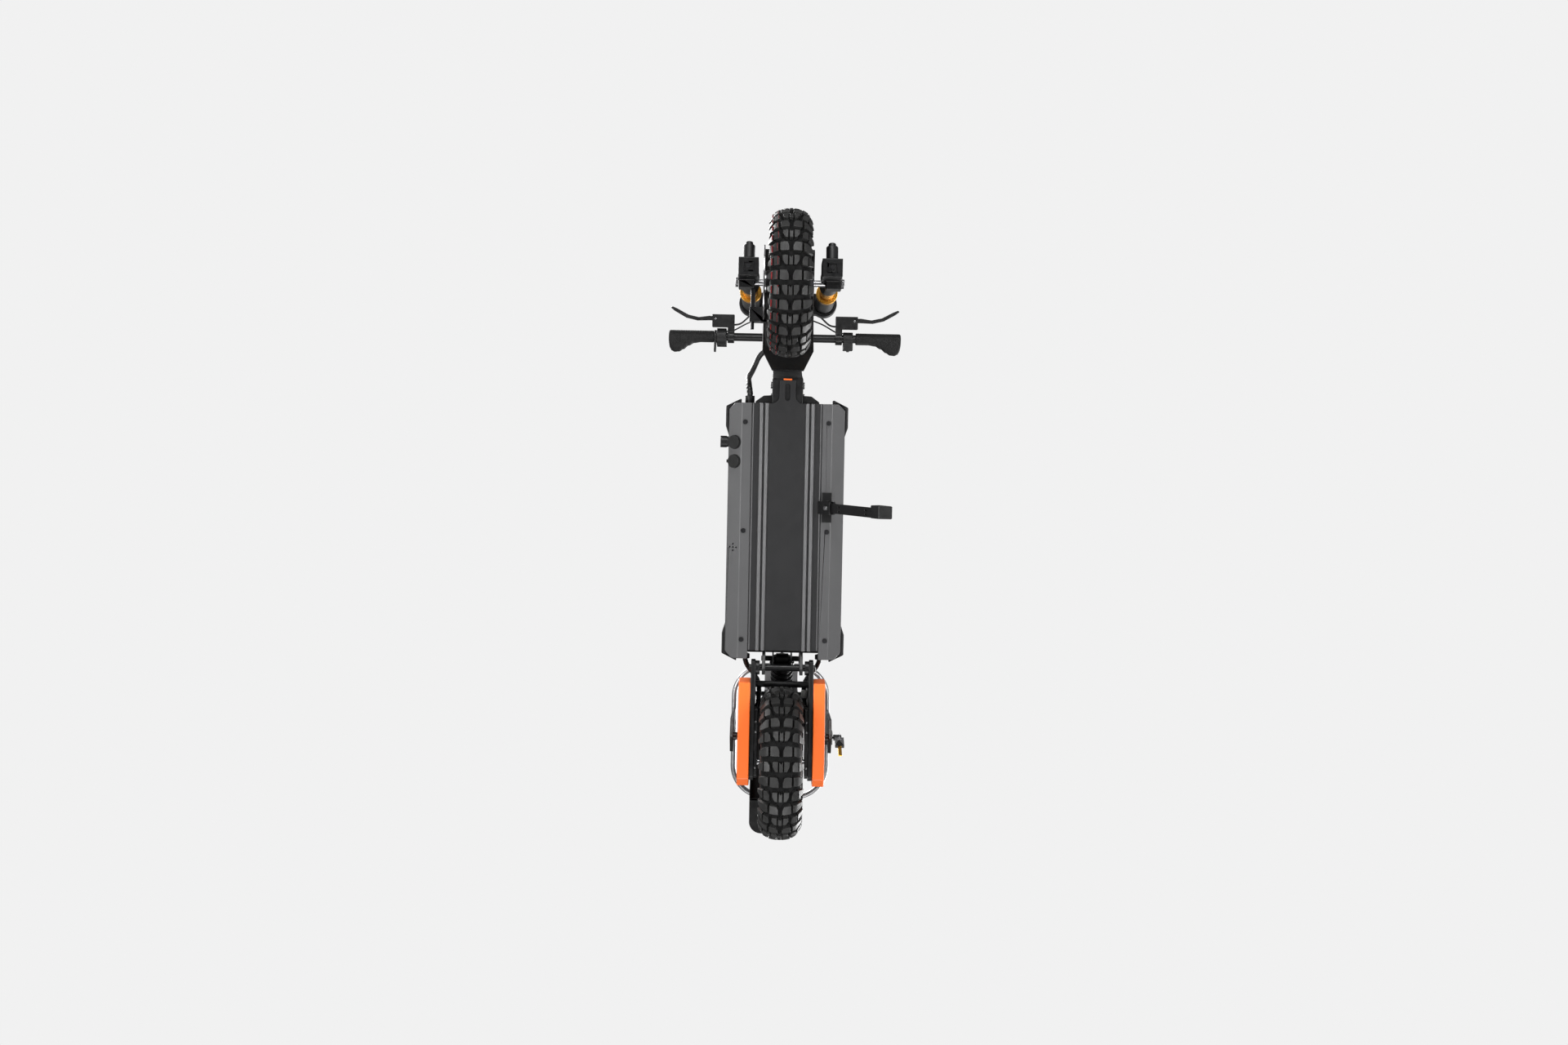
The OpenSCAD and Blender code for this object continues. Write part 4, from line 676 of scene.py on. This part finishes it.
# Regions of a node that have a finish of their own. Each pick gets a face's middle in millimetres
# and its normal, and returns the number of the finish.
STAND_PIN = Vector((49, 80, DECK_Z - 16))
STAND_AXIS = Vector((0, math.cos(math.radians(35)), math.sin(math.radians(35))))
STAND_PIN_R, STAND_EAR = 4.7, 7.35            # pin radius, and where its ends leave the bracket
RIB_CREST, DECK_SCREWS = DECK_Z - 2.4, DECK_Z + 8
PIVOT_PIN_Y, MOTOR_AXLE_R = 58.5, 9
AXLE_Y, AXLE_BOX = 49.5, 14                   # the rear axle lies inside these
PERCH_SCREW_UP, PERCH_Y, DISPLAY_Z = 12.4, 180, BAR_Z + 30.5
STAY_Y, STAY_TOP = 60, HOOP_Z - 5.5
KEY_HEAD, BLADE_END, RING_TOP = 9.5, HOOP_Z - 24, HOOP_Z - 43
FACING = 0.9                                  # a normal this far along an axis faces that way
LENS_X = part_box("head_lamp")[1].x / MM - 3
CALIPER_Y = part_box("front_caliper")[0].y / MM + 3


def stand_pick(c, n):
    v = c - STAND_PIN
    along = v.dot(STAND_AXIS)
    return 1 if (v - STAND_AXIS * along).length < STAND_PIN_R and abs(along) > STAND_EAR else 0


def swingarm_pick(c, n):
    near = abs(c.x - X_REAR) < AXLE_BOX and abs(c.z - TYRE_R) < AXLE_BOX
    axle = abs(c.y) < AXLE_Y and near
    return 1 if axle else 0


def key_pick(c, n):
    """Gold for the lowest part, black for heads and flat faces, steel for the rest."""
    if c.z < RING_TOP:
        return 2
    head = abs(n.x) > 0.99 or abs(c.z - HOOP_Z) < KEY_HEAD or c.z < BLADE_END
    return 0 if head else 1


# faces below RIB_CREST take the lighter rib finish, a painted highlight on the crests
refine("underside_panel", ["underside", "rib"], lambda c, n: 1 if c.z < RIB_CREST else 0, 0.0004)
refine("grip_mat", ["mat_rubber"], bevel=0.0006, edit=tread_bars)
refine("fork_lowers", ["frame_black", "black_plastic", "gold"], lowers_pick, 0.0016)
refine("frame_fasteners", ["dark_screw", "steel"],
       lambda c, n: 1 if c.z > DECK_SCREWS else 0, 0.0003)
refine("kickstand_bracket", ["frame_black", "steel"], stand_pick, 0.0006)
refine("rear_subframe", ["frame_black", "steel"],
       lambda c, n: 1 if abs(c.y) > PIVOT_PIN_Y else 0, 0.0007)
refine("swingarm", ["frame_black", "steel"], swingarm_pick, 0.0010)
refine("head_lamp", ["black_plastic", "lens"],
       lambda c, n: 1 if n.x > FACING and c.x > LENS_X else 0, 0.0009)
refine("front_caliper", ["frame_black", "steel"], lambda c, n: 1 if c.y < CALIPER_Y else 0, 0.0008)
refine("lever_perches", ["frame_black", "steel"],
       lambda c, n: 1 if abs(c.z - BAR_Z) > PERCH_SCREW_UP and abs(c.y) > PERCH_Y else 0, 0.0010)
refine("throttle_pod", ["black_plastic", "screen"],
       lambda c, n: 1 if n.z > FACING and c.z > DISPLAY_Z else 0, 0.0010)
refine("rear_hoop", ["alloy", "frame_black"],
       lambda c, n: 1 if abs(c.y) > STAY_Y and c.z < STAY_TOP else 0, 0.0006, angle=40)
refine("hub_motor", ["dark_alloy", "steel"],
       lambda c, n: 1 if math.hypot(c.x - X_REAR, c.z - TYRE_R) < MOTOR_AXLE_R else 0, 0.0009)
refine("lock_key", ["black_plastic", "steel", "gold"], key_pick, 0.0004, angle=50)

# ----------------------------------------------------------------- spring
COIL_R, WIRE_R, COIL_TURNS, COIL_STEPS = 19, 2.9, 5, 36
SEAT_A, SEAT_B = 16, 17                       # spring seats, measured from the shock's eyes
WIRE_GAP = 3.3                                # from a seat to the middle of the wire


def make_spring():
    """Coil between the shock's seats, riding on the shock can."""
    a = Vector((SHOCK_A[0], 0, SHOCK_A[1]))
    b = Vector((SHOCK_B[0], 0, SHOCK_B[1]))
    axis = (b - a).normalized()
    low, high = SEAT_A + WIRE_GAP, (b - a).length - SEAT_B - WIRE_GAP
    side = Vector((0, 1, 0))
    other = axis.cross(side)
    bm = bmesh.new()
    path = []
    for i in range(COIL_TURNS * COIL_STEPS + 1):
        t = 2 * math.pi * i / COIL_STEPS
        w = low + (high - low) * i / (COIL_TURNS * COIL_STEPS)
        path.append(a + axis * w + (side * math.sin(t) + other * math.cos(t)) * COIL_R)
    ring_tube(bm, path, WIRE_R, 12)
    obj = finish_piece("coil_spring", bm, ["frame_black"], "shock_can", ["shock_spring"], angle=60)
    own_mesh(obj)


make_spring()


# ----------------------------------------- rear cables, plates, cheeks, trims
def make_rear_cables():
    """Two sleeved cables from the rear bulkhead into the arm, with nut and grommet."""
    for side, word in RIGHT_LEFT:
        line = [(X_TAIL + 4, side * 70, 190), (-246, side * 70, 192), (-262, side * 64, 206),
                (-280, side * 52, 222), (-298, side * 44, 226), (-322, side * 43.5, 214),
                (-337, side * 46, 205), (-344, side * 51.5, 199)]
        spiral_cable("rear_cable_" + word, line, 9.5, None, pitch=8.0,
                     bend=("chassis", "rear_arm", (-0.250, 0, 0.2), (-0.300, 0, 0.226)))
        bm = bmesh.new()
        ring_tube(bm, [(-341, side * 48.2, 201), (-343.5, side * 50.6, 199)], 7.4, 24)
        finish_piece("cable_grommet_" + word, bm, ["grip_rubber"], "rear_arm", (), 0.0008)
        bm = bmesh.new()
        ring_tube(bm, [(X_TAIL + 2.5, side * 70, 190), (X_TAIL - 6, side * 70, 190)], 8.2, 24)
        finish_piece("cable_nut_" + word, bm, ["black_plastic"], "chassis", (), 0.0008)


def make_white_connector():
    """White plug around the left rear cable."""
    bm = bmesh.new()
    ring_tube(bm, [(-308, 43.8, 222.5), (-309, 43.8, 222), (-322, 43.5, 214),
                   (-323, 43.5, 213.4)], 6.2, 20, shape=lambda i, t: 0.8 if i in (0, 3) else 1)
    finish_piece("white_connector", bm, ["white_plastic"], "rear_arm", (), 0.0006)


def make_pair(name, mat, body, outline, near, far, bevel, axis=1):
    """The same prism on both sides; outline(side) gives its points, and near to far its reach."""
    bm = bmesh.new()
    for side in (-1, 1):
        low, high = (side * near, side * far) if axis == 1 else (near, far)
        add_prism(bm, outline(side), low, high, axis)
    finish_piece(name, bm, [mat], body, (), bevel)


def make_neck_accent():
    """Orange accent under the neck."""
    bm = bmesh.new()
    add_box(bm, (X_DECK + 43, -8.0, DECK_Z + 1), (X_DECK + 46.4, 8.0, DECK_Z + 5))
    finish_piece("neck_accent", bm, ["orange"], "chassis", (), 0.0009)


def make_cheek_screws():
    """Steel screws along the lower edge of the arm plates' inner cheeks."""
    bm = bmesh.new()
    for side in (-1, 1):
        for x, z, reach in ((78, 138, 16), (60, 134, 16), (30, 122, 7), (-4, 118, 7)):
            ring_tube(bm, [(X_REAR + x, side * 47, z - reach), (X_REAR + x, side * 47, z)], 1.7, 12)
    finish_piece("cheek_screws", bm, ["steel"], "rear_arm", (), 0.0002)


FOOT_U0, FOOT_HALF, FOOT_HOLE = 9, 9, 0.78    # place, half size and opening of the seats
FOOT_TOP, FOOT_BOTTOM = -65.5, -67.6          # heights from the axle along the leg
BOLT_TOP, BOLT_BOTTOM, BOLT_R = -65.4, -67.4, 4.6


def make_foot_seats():
    """Square seats with a hexagonal bolt under the fork feet."""
    corners = [(-FOOT_HALF, -FOOT_HALF), (FOOT_HALF, -FOOT_HALF), (FOOT_HALF, FOOT_HALF),
               (-FOOT_HALF, FOOT_HALF)]
    for side, word in RIGHT_LEFT:
        bm = bmesh.new()
        for k in range(4):
            a, b = corners[k], corners[(k + 1) % 4]
            strip = [a, b, (b[0] * FOOT_HOLE, b[1] * FOOT_HOLE), (a[0] * FOOT_HOLE, a[1] * FOOT_HOLE)]
            ring, low = [[bm.verts.new(fork_pos(FOOT_U0 + u, side * LEG_Y + v, w))
                          for u, v in strip] for w in (FOOT_TOP, FOOT_BOTTOM)]
            bm.faces.new(ring)
            bm.faces.new(list(reversed(low)))
            for i in range(4):
                j = (i + 1) % 4
                bm.faces.new((ring[i], low[i], low[j], ring[j]))
        bmesh.ops.remove_doubles(bm, verts=bm.verts, dist=0.001)
        finish_piece("foot_seat_" + word, bm, ["frame_black"], "fork_slider", (), 0.0004)
        bm = bmesh.new()
        ring_tube(bm, [fork_pos(FOOT_U0, side * LEG_Y, BOLT_TOP),
                       fork_pos(FOOT_U0, side * LEG_Y, BOLT_BOTTOM)], BOLT_R, 6)
        finish_piece("foot_bolt_" + word, bm, ["dark_screw"], "fork_slider", (), 0.0004)


make_rear_cables()
make_white_connector()
make_pair("shock_side_plates", "steel", "chassis",
          lambda side: [(SHOCK_A[0] + 12, SHOCK_A[1] - 22), (SHOCK_A[0] + 12, SHOCK_A[1] + 8),
                        (SHOCK_A[0], SHOCK_A[1] + 14), (SHOCK_A[0] - 12, SHOCK_A[1] + 4),
                        (SHOCK_A[0] - 12, SHOCK_A[1] - 14)], 16, 19, 0.0006)
make_neck_accent()
# inner cheeks of the arm plates, beside the tyre
make_pair("arm_cheeks", "frame_black", "rear_arm",
          lambda side: [(X_REAR + 92, 190), (X_REAR + 40, 192), (X_REAR - 24, 160),
                        (X_REAR - 30, 138), (X_REAR - 20, 116), (X_REAR + 30, 112),
                        (X_REAR + 100, 128)], 43.8, 50.2, 0.0010)
make_cheek_screws()
# wedges that close the deck front beside the neck
make_pair("neck_wedges", "frame_black", "chassis",
          lambda side: [(X_DECK - 0.5, side * 29), (X_DECK + 15, side * 29),
                        (X_DECK + 14, side * 45), (X_DECK + 3, side * 60),
                        (X_DECK - 0.5, side * 60)], DECK_Z + 12, DECK_Z + 34, 0.0012, axis=2)
# thin lips along the underside panel, in the lighter rib finish that paints a highlight along them
make_pair("underside_lips", "rib", "chassis",
          lambda side: [(side * 64.6, DECK_Z + 0.3), (side * 63.9, DECK_Z - 1.3),
                        (side * 62.6, DECK_Z - 1.3), (side * 61.9, DECK_Z + 0.3)],
          X_TAIL + 17, X_DECK - 0.5, 0.0003, axis=0)
make_foot_seats()

# ------------------------------------------------------------------ stage
FLOOR_HALF = 60
FLOOR_BASE, FLOOR_GLOW = 0.12, 0.72
WORLD_LIT, WORLD_SEEN = 0.20, 0.88            # world strength as a light, and for the camera


def make_floor():
    """Pale floor, clear from below, that is lit mostly by itself and casts nothing."""
    bm = bmesh.new()
    corners = ((-FLOOR_HALF, -FLOOR_HALF), (FLOOR_HALF, -FLOOR_HALF), (FLOOR_HALF, FLOOR_HALF),
               (-FLOOR_HALF, FLOOR_HALF))
    bm.faces.new([bm.verts.new((x, y, 0)) for x, y in corners])
    mesh = bpy.data.meshes.new("floor")
    bm.to_mesh(mesh)
    bm.free()
    floor = bpy.data.objects.new("floor", mesh)
    scene.collection.objects.link(floor)
    mat = bpy.data.materials.new("floor_paper")
    mat.use_nodes = True
    n, t = mat.node_tree.nodes, mat.node_tree
    bsdf = n["Principled BSDF"]
    bsdf.inputs["Base Color"].default_value = (FLOOR_BASE, FLOOR_BASE, FLOOR_BASE, 1)
    bsdf.inputs["Emission Color"].default_value = (FLOOR_GLOW, FLOOR_GLOW, FLOOR_GLOW, 1)
    bsdf.inputs["Emission Strength"].default_value = 1.0
    bsdf.inputs["Roughness"].default_value = 0.9
    bsdf.inputs["Specular IOR Level"].default_value = 0.1
    clear = n.new("ShaderNodeBsdfTransparent")
    mix = n.new("ShaderNodeMixShader")
    geo = n.new("ShaderNodeNewGeometry")
    link(t, geo.outputs["Backfacing"], mix.inputs["Fac"])
    link(t, bsdf.outputs["BSDF"], mix.inputs[1])
    link(t, clear.outputs["BSDF"], mix.inputs[2])
    link(t, mix.outputs["Shader"], n["Material Output"].inputs["Surface"])
    mesh.materials.append(mat)
    floor.visible_shadow = False
    floor.visible_glossy = False
    floor.visible_diffuse = False


def make_light(name, place, size, power, target=(0, 0, 0.25)):
    """Round soft light that points at a target and isn't seen itself."""
    data = bpy.data.lights.new(name, "AREA")
    data.shape, data.size, data.energy = "DISK", size, power
    obj = bpy.data.objects.new(name, data)
    scene.collection.objects.link(obj)
    obj.location = place
    aim = Vector(target) - Vector(place)
    obj.rotation_mode = "QUATERNION"
    obj.rotation_quaternion = aim.to_track_quat("-Z", "Y")
    obj.visible_camera = False


def make_sky():
    """Broad soft sun from high above, without a reflection of its own."""
    data = bpy.data.lights.new("soft_sky", "SUN")
    data.energy, data.angle = 2.2, math.radians(50)
    sun = bpy.data.objects.new("soft_sky", data)
    scene.collection.objects.link(sun)
    sun.visible_glossy = False
    sun.rotation_euler = (math.radians(12), math.radians(-10), 0)


def make_world():
    """White studio world that is dimmer as a light than it looks to the camera."""
    world = bpy.data.worlds.new("studio")
    scene.world = world
    world.use_nodes = True
    t = world.node_tree
    background = t.nodes["Background"]
    path = t.nodes.new("ShaderNodeLightPath")
    level = t.nodes.new("ShaderNodeMapRange")
    level.inputs["To Min"].default_value = WORLD_LIT
    level.inputs["To Max"].default_value = WORLD_SEEN
    link(t, path.outputs["Is Camera Ray"], level.inputs["Value"])
    link(t, level.outputs["Result"], background.inputs["Strength"])
    background.inputs["Color"].default_value = (1, 1, 1, 1)


make_floor()
make_light("below_left", (0.1, 1.9, -1.9), 1.4, 50)
make_light("below_right", (0.1, -1.9, -1.9), 1.4, 56)
make_light("below_front", (2.2, 0, -1.2), 1.2, 30)
make_light("below_rear", (-2.2, 0, -1.2), 1.2, 26)
make_light("above_key", (1.6, -2.0, 3.0), 2.4, 190, (0, 0, 0.5))
make_light("above_fill", (-1.8, 2.2, 2.6), 2.8, 150, (0, 0, 0.5))
make_sky()
make_world()
